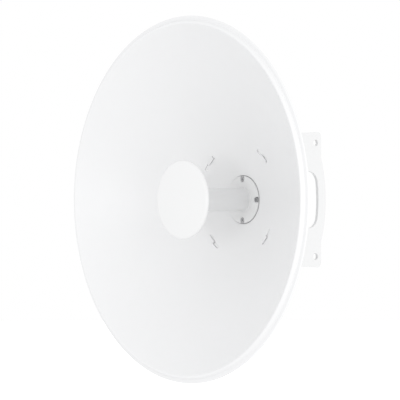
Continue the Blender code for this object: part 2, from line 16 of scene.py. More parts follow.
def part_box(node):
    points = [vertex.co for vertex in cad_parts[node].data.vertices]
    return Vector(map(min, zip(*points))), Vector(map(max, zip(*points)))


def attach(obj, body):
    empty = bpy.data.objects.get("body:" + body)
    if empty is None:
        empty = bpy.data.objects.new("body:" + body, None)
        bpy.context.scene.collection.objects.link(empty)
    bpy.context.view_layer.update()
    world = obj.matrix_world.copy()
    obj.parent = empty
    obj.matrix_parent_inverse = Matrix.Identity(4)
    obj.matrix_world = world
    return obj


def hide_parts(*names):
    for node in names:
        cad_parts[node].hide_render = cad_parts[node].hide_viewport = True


bl_info = {
    "name": "Parabolic Dish Antenna",
    "version": (1, 0, 0),
    "blender": (4, 5, 0),
    "location": "View3D > Sidebar > Antenna",
    "description": "Builds the fine pieces and finishes of a dish antenna around its packed frame",
    "category": "Add Mesh",
}

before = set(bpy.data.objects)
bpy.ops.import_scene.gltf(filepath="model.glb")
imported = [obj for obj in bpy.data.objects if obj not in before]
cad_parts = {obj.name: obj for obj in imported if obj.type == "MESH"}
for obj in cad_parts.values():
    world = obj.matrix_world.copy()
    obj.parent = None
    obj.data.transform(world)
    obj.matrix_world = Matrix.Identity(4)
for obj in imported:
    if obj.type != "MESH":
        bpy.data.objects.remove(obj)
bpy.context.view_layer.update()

BODY = "root"

# Drawing: turns, side counts and the room between pieces that touch
QUARTER = math.pi / 2
HEXAGON = 6
HEXAGON_FLAT = math.cos(math.pi / HEXAGON)
ROUND_SIDES = 144
SMALL_SIDES = 72
SHARP_ANGLE = math.radians(32)
NORMAL_WEIGHT = 80
WELD = 1e-6
GAP = 0.0003
THREAD_ROWS = 6
THREAD_FLANK = 2.4

# Names that the frame's nodes repeat
CORNERS = ("upper_right", "upper_left", "lower_left", "lower_right")
FLANGE_SCREWS = ("right", "top", "left", "bottom")

# The dish's axis and vertex in the frame
REFLECTOR_LOW, REFLECTOR_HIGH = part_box("reflector")
SHEET = 0.0022
AXIS_X = (REFLECTOR_LOW.x + REFLECTOR_HIGH.x) / 2
VERTEX_Y = REFLECTOR_HIGH.y - SHEET
RIM_RADIUS = (REFLECTOR_HIGH - REFLECTOR_LOW).x / 2

# Reflector: its section from the hub hole out to the rolled edge
HUB_HOLE_SHARE = 0.45
SEAT_WALL = 0.0003
SEAT_EDGE_ROUND = 0.0006
SEAT_WALL_ROUND = 0.0008
SEAT_BACK_ROUND = 0.0024
GROOVE_ROUND = 0.0016
BOWL_EDGE_ANGLE = 45
BEAD_OUTER_ANGLE = 60
ROLL_SWEEP = 225
BOWL_STEPS = (7, 2, 28)
BEAD_STEPS = 14
ROLL_STEPS = 18

# Lanced marks: angles in degrees from the start of each quarter
MARK_START = 40.5
MARK_MIDDLE = 50.5
MARK_END = 58.7
TAB_ROOT = 2.5
TAB_SLOT = 0.7
TAB_SHEET = 0.0023
TAB_ROUND = 0.0004
NECK_HALF_WIDTH = 0.0011
HOOK_START = 44.5
HOOK_END = 57.9
HOOK_INSIDE = 0.0001
HOOK_OUTSIDE = 0.0002
HOOK_ROUND = 0.0004
TONGUE_SUNK = 0.0012
TONGUE_DEEP = 0.0048

# Feed casting and the gasket under its flange
FLANGE_FRONT = 0.0052
FLANGE_REAR = 0.0014
TUBE_RADIUS = 0.0209
TUBE_BASE_RADIUS = 0.0213
TUBE_FILLET = 0.0016
SPIGOT_RADIUS = 0.0245
FEED_ROUND = 0.0006
RECESS_RADIUS = 0.0050
RECESS_ROUND = 0.00025
HUB_BORE = 0.026
GASKET_SNUG = 0.00005
GASKET_SHEET = 0.0008
LIP_SUNK = 0.0005
LIP_ROUND = 0.0003
LIP_FOOT_ROUND = 0.0001

# Sub-reflector: cone, plate and cover
BOSS_ROUND = 0.0002
FINE_ROUND = 0.0003
EDGE_ROUND = 0.0004
RIM_ROUND = 0.0005
CONE_NECK = 0.0210
CONE_COLLAR = 0.0232
CONE_COLLAR_REAR = 0.0035
CONE_COLLAR_FRONT = 0.0048
CONE_COLLAR_ROUND = 0.0015
CONE_WAIST = 0.0330
CONE_WAIST_BACK = 0.0133
CONE_WAIST_ROUND = 0.0120
CONE_RIM = 0.0030
CONE_RIM_ROUND = 0.0008
COVER_SHEET = 0.0032
COVER_RIM = 0.0045
COVER_ROUND = 0.0048
COVER_HOLLOW = 0.060
COVER_BOSS = 0.058

# Flange screws and nuts; a nut is its corner radius and bore, a socket's pairs are radii and waves of a star
SCREW_HEAD_HEIGHT = 0.0023
SCREW_HEAD_ROUND = 0.0009
SCREW_SOCKET_DEPTH = 0.0012
SCREW_SOCKET = ((0.0012, 0.0001), (0.0015, 0.00025), (0.0016, 0.00025))
SCREW_SHANK = 0.0020
SCREW_PITCH = 0.0007
SCREW_PLAIN_END = -0.0060
SCREW_THREAD_START = -0.0062
SCREW_RUNOUT = 0.0004
SCREW_TIP = 0.0014
HEAD_STEPS = 6
FLANGE_NUT = (0.0040, 0.0022)

# Cheek bolts and nuts; a chamfer's pairs are its steps and their reach over the flats
BOLT_CORNER = 0.0075
BOLT_WASHER = 0.0003
BOLT_WASHER_STEP = 0.0004
BOLT_SHANK = 0.0040
BOLT_PLAIN = 0.0080
BOLT_PITCH = 0.00125
BOLT_THREAD_START = 0.0085
BOLT_THREAD_CUT = 0.45
BOLT_RUNOUT = 0.0008
BOLT_TIP_SHARE = 0.8
BOLT_HOLE = 0.0045
BOLT_FACE = 0.94
BOLT_CHAMFER = ((0.0002, 0.97), (0.0004, 1.02), (0.0006, 1.07), (0.0009, 1.16))
CHEEK_NUT = (0.0075, 0.0042)
NUT_FACE = 0.96
NUT_SLOPE = 0.55
NUT_CHAMFER = ((0.0, 0.96), (0.25, 1.02), (0.5, 1.07), (0.75, 1.12), (1.0, 1.16))

# Channel and cheeks
FEED_DRILL = 0.030
SCREW_DRILL = 0.0024
CHANNEL_ROUND = 0.0005
CHEEK_REAR = 0.103
CHEEK_HALF_CHORD = 0.0775
CHEEK_FLARE = math.radians(3.35)
CHEEK_FRONT_ROUND = 0.014
CHEEK_REAR_ROUND = 0.008
WINDOW_LEAD = 5
WINDOW_STEPS = 14
BULGE_STEPS = 32
CLAMP_HOLE_SIDES = 36
BOLT_HOLE_SIDES = 24

# Housing and lid: frame node, piece and rounding of the edges
HOUSING_PARTS = (("feed_housing", "housing_body", 0.0010), ("housing_lid", "lid_plate", 0.0006))
HOUSING_CORNER = 0.005
SQUARE = ((-1, -1), (1, -1), (1, 1), (-1, 1))

# Lid screws and radio connectors; a reach is measured forward from the connector's mouth
LID_SOCKET_DEPTH = 0.0010
LID_SOCKET = ((0.0012, 0.0002), (0.0013, 0.0002))
LID_SCREW_ROUND = 0.0007
CONNECTOR_BASE = 0.0062
CONNECTOR_BASE_HEIGHT = 0.0030
CONNECTOR_CHAMFER = 0.0004
CONNECTOR_CHAMFER_SHARE = 1.04
CONNECTOR_BARREL = 0.0042
CONNECTOR_WAIST = 0.0039
CONNECTOR_WAIST_LENGTH = 0.0012
CONNECTOR_MOUTH = 0.0037
CONNECTOR_BORE = 0.0032
CONNECTOR_BORE_REACH = 0.0070
CONNECTOR_PITCH = 0.0008
CONNECTOR_THREAD_START = 0.0014
CONNECTOR_THREAD_CUT = 0.4
CONNECTOR_RUNOUT = 0.0006
INSULATOR_REACH = (0.0042, 0.0069)
PIN_REACH = (0.0012, 0.0044)
PIN_RADIUS = 0.0005
PIN_HOLE = 0.0008
PIN_STEPS = 5

# Finishes
EDGE_POINTED = (0.53, 0.62)
PALE_DUST = (0.55, 0.54, 0.52)
AGED_BRASS = (0.52, 0.36, 0.17)
MIX_FIRST = 6
MIX_SECOND = 7
MIX_RESULT = 2

# Studio
PLAIN_WHITE = (1.0, 1.0, 1.0)
WARM_WHITE = (1.0, 0.99, 0.97)
FLOOR_WHITE = (0.9, 0.9, 0.9)
FLOOR_GLOW = 0.45
FLOOR_RADIUS = 14.0
FLOOR_THICKNESS = 0.02
SIDE_PANEL = (2.4, 2.4)
FRONT_PANEL = (0.8, 0.8)
PANEL_DISTANCE = 3.2
SENSOR_WIDTH = 36.0
CLIP_START = 0.05
CLIP_END = 60.0


class Span:
    """A frame node's box in the dish's measures."""

    def __init__(self, node):
        low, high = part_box(node)
        self.across = (low.x + high.x) / 2 - AXIS_X
        self.up = (low.z + high.z) / 2
        self.width = high.x - low.x
        self.height = high.z - low.z
        self.front = VERTEX_Y - low.y
        self.rear = VERTEX_Y - high.y


def number(name, description, default, **kind):
    return FloatProperty(name=name, description=description, default=default, **kind)


def length(name, description, default):
    return number(name, description, default, unit="LENGTH", subtype="DISTANCE")


def angle(name, description, default):
    return number(name, description, default, subtype="ANGLE")


def power(name, description, default):
    return number(name, description, default, unit="POWER")


def tint(name, description, default):
    return FloatVectorProperty(
        name=name, description=description, default=default, size=3, min=0.0, max=1.0, subtype="COLOR"
    )


class ReflectorSizes(bpy.types.PropertyGroup):
    rim_radius: length("Rim radius", "Outer radius of the rolled edge", RIM_RADIUS)
    roll_radius: length("Roll radius", "Radius of the rolled edge's section", 0.00175)
    roll_depth: length("Roll depth", "Depth of the rolled edge's middle", 0.1476)
    bead_radius: length("Bead radius", "Radius of the bead's crest", 0.3127)
    bead_round: length("Bead round", "Radius of the bead's section", 0.0030)
    bead_depth: length("Bead depth", "Depth of the bead's crest", VERTEX_Y - REFLECTOR_LOW.y)
    seat_radius: length("Seat radius", "Radius of the flat seat in the middle", 0.0441)
    mark_inner: length("Mark inner radius", "Inner radius of the four lanced marks", 0.1000)
    mark_outer: length("Mark outer radius", "Outer radius of the four lanced marks", 0.1060)
    tab_rise: length("Tab rise", "How far the raised half of a mark stands over the bowl", 0.0028)
    columns: IntProperty(name="Columns", description="Steps round the bowl", default=360, min=72, max=720)


class BracketSizes(bpy.types.PropertyGroup):
    sheet: length("Channel sheet", "Thickness of the folded channel", 0.0040)
    bend: length("Bend radius", "Outer radius of the channel's folds", 0.0080)
    edge_round: length("Edge round", "Rounding of the cheeks' edges", 0.0011)
    window_half_height: length("Window half height", "Half the height of a cheek's window", 0.0515)
    window_front: length("Window front", "Distance from the dish's vertex back to a window", 0.0480)
    window_corner: length("Window corner", "Corner radius of a window", 0.0220)
    strip_width: length("Strip width", "Width of the strip behind a window", 0.0190)
    clamp_hole_radius: length("Clamp hole radius", "Radius of the holes for the pole clamp's bolts", 0.0057)
    clamp_hole_back: length("Clamp hole back", "Distance from the dish's vertex back to those holes", 0.0890)
    clamp_hole_up: length("Clamp hole height", "Height of those holes over the boresight", 0.1033)


class FinishColours(bpy.types.PropertyGroup):
    reflector: tint("Reflector", "Powder coat of the reflector", (0.782, 0.785, 0.792))
    bracket: tint("Bracket", "Powder coat of the bracket", (0.766, 0.770, 0.774))
    plastic: tint("Plastic", "Moulded cover and housing", (0.778, 0.781, 0.784))
    # The feed casting is the same white plastic as the cover and housing; its tint is a little darker as
    # painted shade for the hollow of the bowl it stands in
    feed: tint("Feed", "Moulded feed casting", (0.755, 0.758, 0.761))
    cream: tint("Cream plastic", "Machined cone", (0.80, 0.79, 0.74))
    rubber: tint("Rubber", "Gasket under the feed's flange", (0.36, 0.36, 0.365))
    aluminium: tint("Aluminium", "Bare turned plates", (0.72, 0.73, 0.74))
    steel: tint("Steel", "Screws, bolts and nuts", (0.42, 0.42, 0.43))
    brass: tint("Brass", "Radio connectors", (0.78, 0.60, 0.28))


class StudioSettings(bpy.types.PropertyGroup):
    azimuth: angle("Azimuth", "The camera's turn about the object", 0.87073)
    elevation: angle("Elevation", "The camera's height over the horizon", -0.000629)
    distance: length("Distance", "From the camera to its target", 3.143283)
    target: FloatVectorProperty(
        name="Target",
        description="Point in the middle of the picture",
        default=(-0.14984, -0.1655, -0.00059),
        subtype="TRANSLATION",
        unit="LENGTH",
        precision=5,
    )
    lens: number("Lens", "Focal length in millimetres", 154.64, unit="CAMERA")
    sky: number("Surround", "Light that comes from all round", 1.05, min=0.0)
    side_power: power("Side light", "Power of the soft light at the side", 20.0)
    side_turn: angle("Side light's turn", "Its turn about the object", 1.431)
    front_power: power("Front light", "Power of the soft light in front", 9.3)
    front_turn: angle("Front light's turn", "Its turn about the object", 0.349)
    floor_drop: length("Floor drop", "From the boresight down to the floor", 1.2)


def at(across, depth, up):
    """A point in the dish's measures as a point of the frame."""
    return (AXIS_X + across, VERTEX_Y - depth, up)


def along_boresight(across, up, depth):
    """Places a prism that is pulled along the boresight."""
    return at(across, depth, up)


def on_boresight(across=0.0, up=0.0):
    """Places a body of revolution along the boresight, whose axis is shifted across and up."""
    return lambda u, depth, v: at(across + u, depth, up + v)


def on_cheek(side, back, up):
    """Places a body of revolution along x, pointing out of one side at a distance behind the vertex."""
    return lambda u, out, v: at(side * out, -back + u, up + v)


def arc(middle, radius, start, end, steps):
    """Points on an arc, with angles in degrees from the second axis towards the first."""
    turns = (math.radians(start + (end - start) * step / steps) for step in range(steps + 1))
    return [(middle[0] + radius * math.sin(turn), middle[1] + radius * math.cos(turn)) for turn in turns]


def circle(middle, radius, sides):
    """Corners of a round hole's outline."""
    return arc(middle, radius, 0, 360 - 360 / sides, sides - 1)


def rounded(corners, steps=6, is_open=False):
    """A line through corners (x, y, radius), with each corner that has a radius turned by an arc."""
    line = []
    for index, (x, y, radius) in enumerate(corners):
        here = Vector((x, y))
        at_end = is_open and index in (0, len(corners) - 1)
        if not radius or at_end:
            line.append((x, y))
            continue
        before = (Vector(corners[index - 1][:2]) - here).normalized()
        after = (Vector(corners[(index + 1) % len(corners)][:2]) - here).normalized()
        half = before.angle(after) / 2
        middle = here + (before + after).normalized() * radius / math.sin(half)
        first = here + before * radius / math.tan(half) - middle
        last = here + after * radius / math.tan(half) - middle
        sweep = first.angle_signed(last)
        for step in range(steps + 1):
            spoke = first.copy()
            spoke.rotate(Matrix.Rotation(-sweep * step / steps, 2))
            line.append(tuple(middle + spoke))
    return line


def offset_line(points, distance):
    """The line shifted to its right-hand side, with mitred corners."""
    shifted = []
    for index, point in enumerate(points):
        here = Vector(point)
        before = (here - Vector(points[index - 1])).normalized() if index else None
        after = (Vector(points[index + 1]) - here).normalized() if index + 1 < len(points) else None
        before = before or after
        after = after or before
        along = (before + after).normalized()
        shifted.append(tuple(here + Vector((along.y, -along.x)) * distance / along.dot(after)))
    return shifted


def turned(stations, sides, place, ring=False):
    """Points and faces of a body of rings, from (radius, depth); a radius may depend on the angle."""
    turns = [math.tau * side / sides for side in range(sides)]
    points, rings = [], []
    for radius, depth in stations:
        start = len(points)
        if radius == 0:
            rings.append([start] * sides)
            points.append(place(0, depth, 0))
            continue
        rings.append(list(range(start, start + sides)))
        for turn in turns:
            reach = radius(turn) if callable(radius) else radius
            points.append(place(reach * math.cos(turn), depth, reach * math.sin(turn)))
    faces = []
    for near, far in zip(rings, rings[1:] + (rings[:1] if ring else [])):
        for side in range(sides):
            beside = (side + 1) % sides
            corners = tuple(dict.fromkeys((near[side], near[beside], far[beside], far[side])))
            if len(corners) > 2:
                faces.append(corners)
    return points, faces


def hexagon(corner_radius, limit=math.inf):
    """A hexagon's radius at an angle, held inside a circle as a chamfer does."""
    sector = math.tau / HEXAGON
    return lambda turn: min(corner_radius * HEXAGON_FLAT / math.cos(turn % sector - sector / 2), limit)


def star(radius, wave):
    """A six-lobed socket's radius at an angle."""
    return lambda turn: radius + wave * math.cos(HEXAGON * turn)


def thread(radius, pitch, start, end, cut=0.3):
    """Stations of a screw thread from one depth to another."""
    count = max(2, round(abs(end - start) / pitch * THREAD_ROWS))
    stations = []
    for row in range(count + 1):
        depth = start + (end - start) * row / count

        def reach(turn, depth=depth):
            phase = (depth / pitch + turn / math.tau) % 1
            return radius - cut * pitch * min(1, THREAD_FLANK * abs(phase - 0.5))

        stations.append((reach, depth))
    return stations


def closed(points, count):
    """Points of two outlines of count corners each, with the faces that join them and close their ends."""
    sides = [(i, (i + 1) % count, (i + 1) % count + count, i + count) for i in range(count)]
    return points, [tuple(range(count)), tuple(range(count, 2 * count))] + sides


def prism(outline, place, low, high):
    """Points and faces of an outline of (x, y) pulled from low to high; place gives a point's place."""
    return closed([place(x, y, level) for level in (low, high) for x, y in outline], len(outline))


def gather(parts):
    """Several (points, faces) as one."""
    points, faces = [], []
    for part_points, part_faces in parts:
        start = len(points)
        points += part_points
        faces += [tuple(index + start for index in face) for face in part_faces]
    return points, faces


def add_object(name, data):
    piece = bpy.data.objects.new(name, data)
    bpy.context.scene.collection.objects.link(piece)
    return piece


def add_mesh(name, points, faces):
    """A mesh object with its faces turned outwards and its sharp edges kept."""
    shape = bmesh.new()
    vertices = [shape.verts.new(point) for point in points]
    for face in faces:
        shape.faces.new([vertices[index] for index in face])
    bmesh.ops.recalc_face_normals(shape, faces=shape.faces)
    mesh = bpy.data.meshes.new(name)
    shape.to_mesh(mesh)
    shape.free()
    mesh.shade_smooth()
    mesh.set_sharp_from_angle(angle=SHARP_ANGLE)
    return add_object(name, mesh)


def spun(name, corners, steps=6, ring=False):
    """A body of revolution about the boresight, from corners (radius, depth, rounding)."""
    line = rounded(corners, steps, is_open=not ring)
    return add_mesh(name, *turned(line, ROUND_SIDES, on_boresight(), ring))


def settled(piece):
    """Applies the piece's modifiers."""
    evaluated = piece.evaluated_get(bpy.context.evaluated_depsgraph_get())
    mesh = bpy.data.meshes.new_from_object(evaluated)
    old = piece.data
    piece.modifiers.clear()
    piece.data = mesh
    bpy.data.meshes.remove(old)
    mesh.name = piece.name
    return piece


def cut(piece, cutters):
    """Cuts closed bodies, given as (points, faces), out of a piece."""
    cutter = add_mesh(f"{piece.name}_cutter", *gather(cutters))
    modifier = piece.modifiers.new("cut", "BOOLEAN")
    modifier.object = cutter
    modifier.solver = "EXACT"
    settled(piece)
    bpy.data.objects.remove(cutter, do_unlink=True)


def eased(piece, width, segments=3):
    """Rounds the piece's edges and lets its flat faces keep their own normals."""
    bevel = piece.modifiers.new("eased", "BEVEL")
    bevel.width = width
    bevel.segments = segments
    bevel.limit_method = "ANGLE"
    bevel.angle_limit = SHARP_ANGLE
    bevel.use_clamp_overlap = True
    settled(piece)
    return flat_kept(piece)


def flat_kept(piece):
    """Weights the normals by face area, so that a flat face stays flat beside its rounded edges."""
    piece.data.shade_smooth()
    piece.data.set_sharp_from_angle(angle=SHARP_ANGLE)
    weighted = piece.modifiers.new("flat_kept", "WEIGHTED_NORMAL")
    weighted.keep_sharp = True
    weighted.weight = NORMAL_WEIGHT
    return settled(piece)


class Value:
    """A number in a finish; arithmetic on it adds Math nodes."""

    def __init__(self, recipe, socket):
        self.recipe = recipe
        self.socket = socket

    def math(self, operation, *others):
        values = dict(enumerate((self, *others)))
        return self.recipe.node("ShaderNodeMath", 0, {"operation": operation}, values)

    def __add__(self, other):
        return self.math("ADD", other)

    def __sub__(self, other):
        return self.math("SUBTRACT", other)

    def __rsub__(self, other):
        return self * -1.0 + other

    def __mul__(self, other):
        return self.math("MULTIPLY", other)

    __radd__ = __add__
    __rmul__ = __mul__

    def sway(self, amount):
        """Swings about 0 by an amount in all, from a number between 0 and 1."""
        return (self - 0.5) * amount

    def ramp(self, low, high):
        """0 below low, 1 above high, and smooth between."""
        smooth = {"interpolation_type": "SMOOTHSTEP"}
        values = {"Value": self, "From Min": low, "From Max": high}
        return self.recipe.node("ShaderNodeMapRange", "Result", smooth, values)


class Recipe:
    """A finish that is being built: a Principled shader and the nodes that feed it."""

    def __init__(self, name, roughness, constants=None):
        self.material = bpy.data.materials.new(name)
        self.material.use_nodes = True
        self.tree = self.material.node_tree
        self.shader = self.tree.nodes["Principled BSDF"]
        self.shader.inputs["Roughness"].default_value = roughness
        for socket, value in (constants or {}).items():
            self.shader.inputs[socket].default_value = value
        self.point = self.node("ShaderNodeTexCoord", "Object", {}, {})

    def node(self, kind, output, settings, values):
        """Places a node, gives it its settings and its sockets' values or links, and returns an output."""
        made = self.tree.nodes.new(kind)
        for setting, value in settings.items():
            setattr(made, setting, value)
        for socket, value in values.items():
            if isinstance(value, Value):
                self.tree.links.new(value.socket, made.inputs[socket])
            else:
                made.inputs[socket].default_value = value
        return Value(self, made.outputs[output])

    def multiplied(self, first, second):
        """Two vectors or colours multiplied part by part."""
        return self.node("ShaderNodeVectorMath", 0, {"operation": "MULTIPLY"}, {0: first, 1: second})

    def noise(self, scale, detail=3.0, roughness=0.55, stretch=None):
        """Cloudy noise from 0 to 1, with its features about 1/scale metres across."""
        point = self.multiplied(self.point, stretch) if stretch else self.point
        values = {"Vector": point, "Scale": scale, "Detail": detail, "Roughness": roughness}
        return self.node("ShaderNodeTexNoise", "Fac", {}, values)

    def radius(self):
        """Distance from the boresight."""
        values = {0: self.multiplied(self.point, (1, 0, 1)), 1: (AXIS_X, 0, 0)}
        return self.node("ShaderNodeVectorMath", "Value", {"operation": "DISTANCE"}, values)

    def edges(self):
        """Near 1 on sharp outer edges and 0 elsewhere."""
        return self.node("ShaderNodeNewGeometry", "Pointiness", {}, {}).ramp(*EDGE_POINTED)

    def mixed(self, share, first, second):
        """Two colours mixed by a share from 0 to 1."""
        values = {"Factor": share, MIX_FIRST: (*first, 1.0), MIX_SECOND: (*second, 1.0)}
        return self.node("ShaderNodeMix", MIX_RESULT, {"data_type": "RGBA"}, values)

    def toned(self, colour, tone):
        """A colour made lighter or darker by a number near 1."""
        grey = self.node("ShaderNodeCombineXYZ", 0, {}, {0: tone, 1: tone, 2: tone})
        return self.multiplied(colour if isinstance(colour, Value) else tuple(colour), grey)

    def feed(self, socket, value):
        self.tree.links.new(value.socket, self.shader.inputs[socket])

    def finished(self, colour, roughness, height, distance):
        """Feeds the shader, with a bump whose height of 1 stands for a distance, and returns the material."""
        values = {"Height": height, "Distance": distance, "Strength": 1.0}
        self.feed("Base Color", colour)
        self.feed("Roughness", roughness)
        self.feed("Normal", self.node("ShaderNodeBump", "Normal", {}, values))
        return self.material


def powder_coat(name, colour, roughness=0.42, dust=0.6):
    """Satin powder coat: an orange-peel skin, slow drift in tone, fine dust and slightly rubbed edges."""
    recipe = Recipe(name, roughness, {"Coat Weight": 0.08, "Coat Roughness": 0.25})
    peel = recipe.noise(620, detail=2.0)
    fine_peel = recipe.noise(2600, detail=1.0)
    drift = recipe.noise(7, detail=4.0)
    dusting = recipe.noise(38, detail=6.0, roughness=0.7)
    specks = recipe.noise(1500, detail=1.0).ramp(0.70, 0.76)
    rubbed = recipe.edges()
    tone = 1.0 + drift.sway(0.018) - dusting.ramp(0.52, 0.8) * (0.012 * dust) - specks * (0.025 * dust)
    rough = roughness + dusting.sway(0.12) - rubbed * 0.08 + peel.sway(0.05)
    coat = recipe.toned(colour, tone + rubbed * 0.02)
    return recipe.finished(coat, rough, peel + fine_peel * 0.25, 0.000035)


def moulded_plastic(name, colour, roughness=0.40, grain=1800):
    """Moulded plastic: a fine spark-eroded grain, faint flow marks and a little haze."""
    recipe = Recipe(name, roughness, {"Specular IOR Level": 0.45})
    flow = recipe.noise(14, detail=5.0, stretch=(1, 0.35, 1))
    haze = recipe.noise(55, detail=5.0, roughness=0.65)
    rubbed = recipe.edges()
    tone = 1.0 + flow.sway(0.022) - haze.ramp(0.55, 0.85) * 0.015 + rubbed * 0.015
    rough = roughness + haze.sway(0.14) - rubbed * 0.10
    return recipe.finished(recipe.toned(colour, tone), rough, recipe.noise(grain, detail=2.0), 0.000018)


def turned_plastic(name, colour):
    """Machined plastic with fine tool rings."""
    roughness = 0.48
    recipe = Recipe(name, roughness)
    rings = (recipe.radius() * 9000 + recipe.noise(60) * 2.0).math("SINE")
    stain = recipe.noise(30, detail=5.0)
    tone = 1.0 + stain.sway(0.05) + rings * 0.006
    rough = roughness + rings * 0.04 + stain.sway(0.12)
    return recipe.finished(recipe.toned(colour, tone), rough, rings * 0.5 + recipe.noise(900) * 0.3, 0.00002)


def turned_metal(name, colour):
    """Bare turned aluminium: tool rings, a dull oxide bloom and fine scratches."""
    recipe = Recipe(name, 0.36, {"Metallic": 1.0})
    rings = (recipe.radius() * 7000 + recipe.noise(45) * 3.0).math("SINE")
    bloom = recipe.noise(26, detail=6.0, roughness=0.65)
    scratches = recipe.noise(240, stretch=(1, 1, 9)).ramp(0.60, 0.72)
    tone = 1.0 - bloom.ramp(0.5, 0.85) * 0.10 + rings * 0.02 - scratches * 0.05
    rough = 0.34 + bloom.ramp(0.4, 0.9) * 0.22 + rings * 0.03 + scratches * 0.08
    return recipe.finished(recipe.toned(colour, tone), rough, rings * 0.5 + scratches, 0.000012)


def satin_steel(name, colour):
    """Stainless fastener steel: drawn grain, handling marks and lighter rubbed edges."""
    recipe = Recipe(name, 0.34, {"Metallic": 1.0})
    grain = recipe.noise(1400, detail=2.0, stretch=(1, 0.15, 1))
    marks = recipe.noise(320, detail=5.0, roughness=0.7)
    rubbed = recipe.edges()
    tone = 0.96 + marks.sway(0.22) + rubbed * 0.30 + grain.sway(0.08)
    rough = 0.36 + marks.sway(0.30) - rubbed * 0.12
    return recipe.finished(recipe.toned(colour, tone), rough, grain + marks * 0.5, 0.00001)


def plated_brass(name, colour):
    """Plated brass with a worn, slightly darker skin in patches."""
    recipe = Recipe(name, 0.28, {"Metallic": 1.0})
    bloom = recipe.noise(420, detail=5.0, roughness=0.7)
    rubbed = recipe.edges()
    aged = recipe.mixed(bloom.ramp(0.45, 0.75) * 0.6, colour, AGED_BRASS)
    rough = 0.26 + bloom * 0.20 - rubbed * 0.08
    return recipe.finished(recipe.toned(aged, 0.95 + rubbed * 0.18), rough, bloom, 0.00001)


def gasket_rubber(name, colour):
    """Matt grey rubber with dust in its grain."""
    recipe = Recipe(name, 0.78, {"Specular IOR Level": 0.35})
    dust = recipe.noise(260, detail=6.0, roughness=0.75).ramp(0.5, 0.85)
    dusty = recipe.mixed(dust * 0.12, colour, PALE_DUST)
    return recipe.finished(dusty, 0.72 + dust * 0.2, recipe.noise(1600), 0.00003)


# Each finish: the record's slot, the function that makes it, its colour in the sidebar, and what differs
FINISHES = {
    "reflector_coat": ("painted_aluminium", powder_coat, "reflector", {}),
    "bracket_coat": ("painted_steel", powder_coat, "bracket", {"roughness": 0.46, "dust": 0.9}),
    # The feed casting's finish takes the darker feed tint, which is painted shade
    "feed_plastic": ("white_plastic", moulded_plastic, "feed", {}),
    "cover_plastic": ("white_plastic", moulded_plastic, "plastic", {"roughness": 0.36, "grain": 2400}),
    "housing_plastic": ("white_plastic", moulded_plastic, "plastic", {"roughness": 0.48, "grain": 1300}),
    "cone_plastic": ("cream_plastic", turned_plastic, "cream", {}),
    "connector_insulator": ("cream_plastic", turned_plastic, "cream", {}),
    "plate_aluminium": ("bare_aluminium", turned_metal, "aluminium", {}),
    "fastener_steel": ("stainless", satin_steel, "steel", {}),
    "connector_plating": ("connector_brass", plated_brass, "brass", {}),
    "gasket_rubber": ("black_rubber", gasket_rubber, "rubber", {}),
}


def fit(piece, finish, *nodes):
    """Gives a piece its finish, made once, and lets it ride and stand for its frame nodes."""
    slot, maker, colour, settings = FINISHES[finish]
    made = bpy.data.materials.get(finish)
    if not made:
        made = maker(finish, getattr(bpy.context.scene.antenna_colours, colour), **settings)
    piece.data.materials.clear()
    piece.data.materials.append(made)
    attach(piece, BODY)
    if nodes:
        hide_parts(*nodes)


def bowl_curve():
    """Four focal lengths of the bowl, and the radius where it runs into the bead."""
    sizes = bpy.context.scene.antenna_reflector
    turn = math.radians(BOWL_EDGE_ANGLE)
    edge = sizes.bead_radius - sizes.bead_round * math.sin(turn)
    depth = sizes.bead_depth - sizes.bead_round * (1 - math.cos(turn))
    return edge**2 / depth, edge


def bowl_depth(radius):
    return radius**2 / bowl_curve()[0]


def bowl_radii():
    """Radii of the bowl's rings, with rings on both edges of the lanced marks."""
    sizes = bpy.context.scene.antenna_reflector
    stops = (sizes.seat_radius + SEAT_WALL, sizes.mark_inner, sizes.mark_outer, bowl_curve()[1])
    radii = []
    for low, high, steps in zip(stops, stops[1:], BOWL_STEPS):
        radii += [low + (high - low) * step / steps for step in range(steps)]
    return radii


def reflector_lines():
    """The front and back lines of the sheet's section, out to the rolled edge, and the roll itself."""
    sizes = bpy.context.scene.antenna_reflector
    hole = Span("hub_plate").width / 2 * HUB_HOLE_SHARE
    bowl = [(radius, bowl_depth(radius)) for radius in bowl_radii()]
    bead_middle = (sizes.bead_radius, sizes.bead_depth - sizes.bead_round)
    bead = arc(bead_middle, sizes.bead_round, -BOWL_EDGE_ANGLE, BEAD_OUTER_ANGLE, BEAD_STEPS)
    flange_depth = sizes.roll_depth + sizes.roll_radius
    drop = bead[-1][1] - flange_depth
    groove = bead[-1][0] + drop / math.tan(math.radians(BEAD_OUTER_ANGLE))
    flange_end = sizes.rim_radius - 2 * sizes.roll_radius
    outer = [(*bead[-1], 0), (groove, flange_depth, GROOVE_ROUND), (flange_end, flange_depth, 0)]
    seat = [(hole, 0.0), (sizes.seat_radius, 0.0), bowl[0]]
    plain = seat + bowl[1:] + bead + rounded(outer, is_open=True)[1:]
    behind = offset_line(plain, SHEET)
    starts = []
    for line, rounds in (
        (plain, (0, SEAT_EDGE_ROUND, SEAT_WALL_ROUND, 0)),
        (behind, (0, SEAT_BACK_ROUND, SEAT_EDGE_ROUND, 0)),
    ):
        corners = [(*point, radius) for point, radius in zip(line, rounds)]
        starts.append(rounded(corners, is_open=True)[:-1] + line[3:])
    roll_middle = (sizes.rim_radius - sizes.roll_radius, sizes.roll_depth)
    return *starts, arc(roll_middle, sizes.roll_radius, 0, ROLL_SWEEP, ROLL_STEPS)


def in_mark(radius, beyond, turn, after):
    """Whether the patch between two radii and two angles lies in one of the marks' openings."""
    sizes = bpy.context.scene.antenna_reflector
    middle, degrees = (radius + beyond) / 2, math.degrees((turn + after) / 2) % 90
    return sizes.mark_inner < middle < sizes.mark_outer and MARK_START < degrees < MARK_END


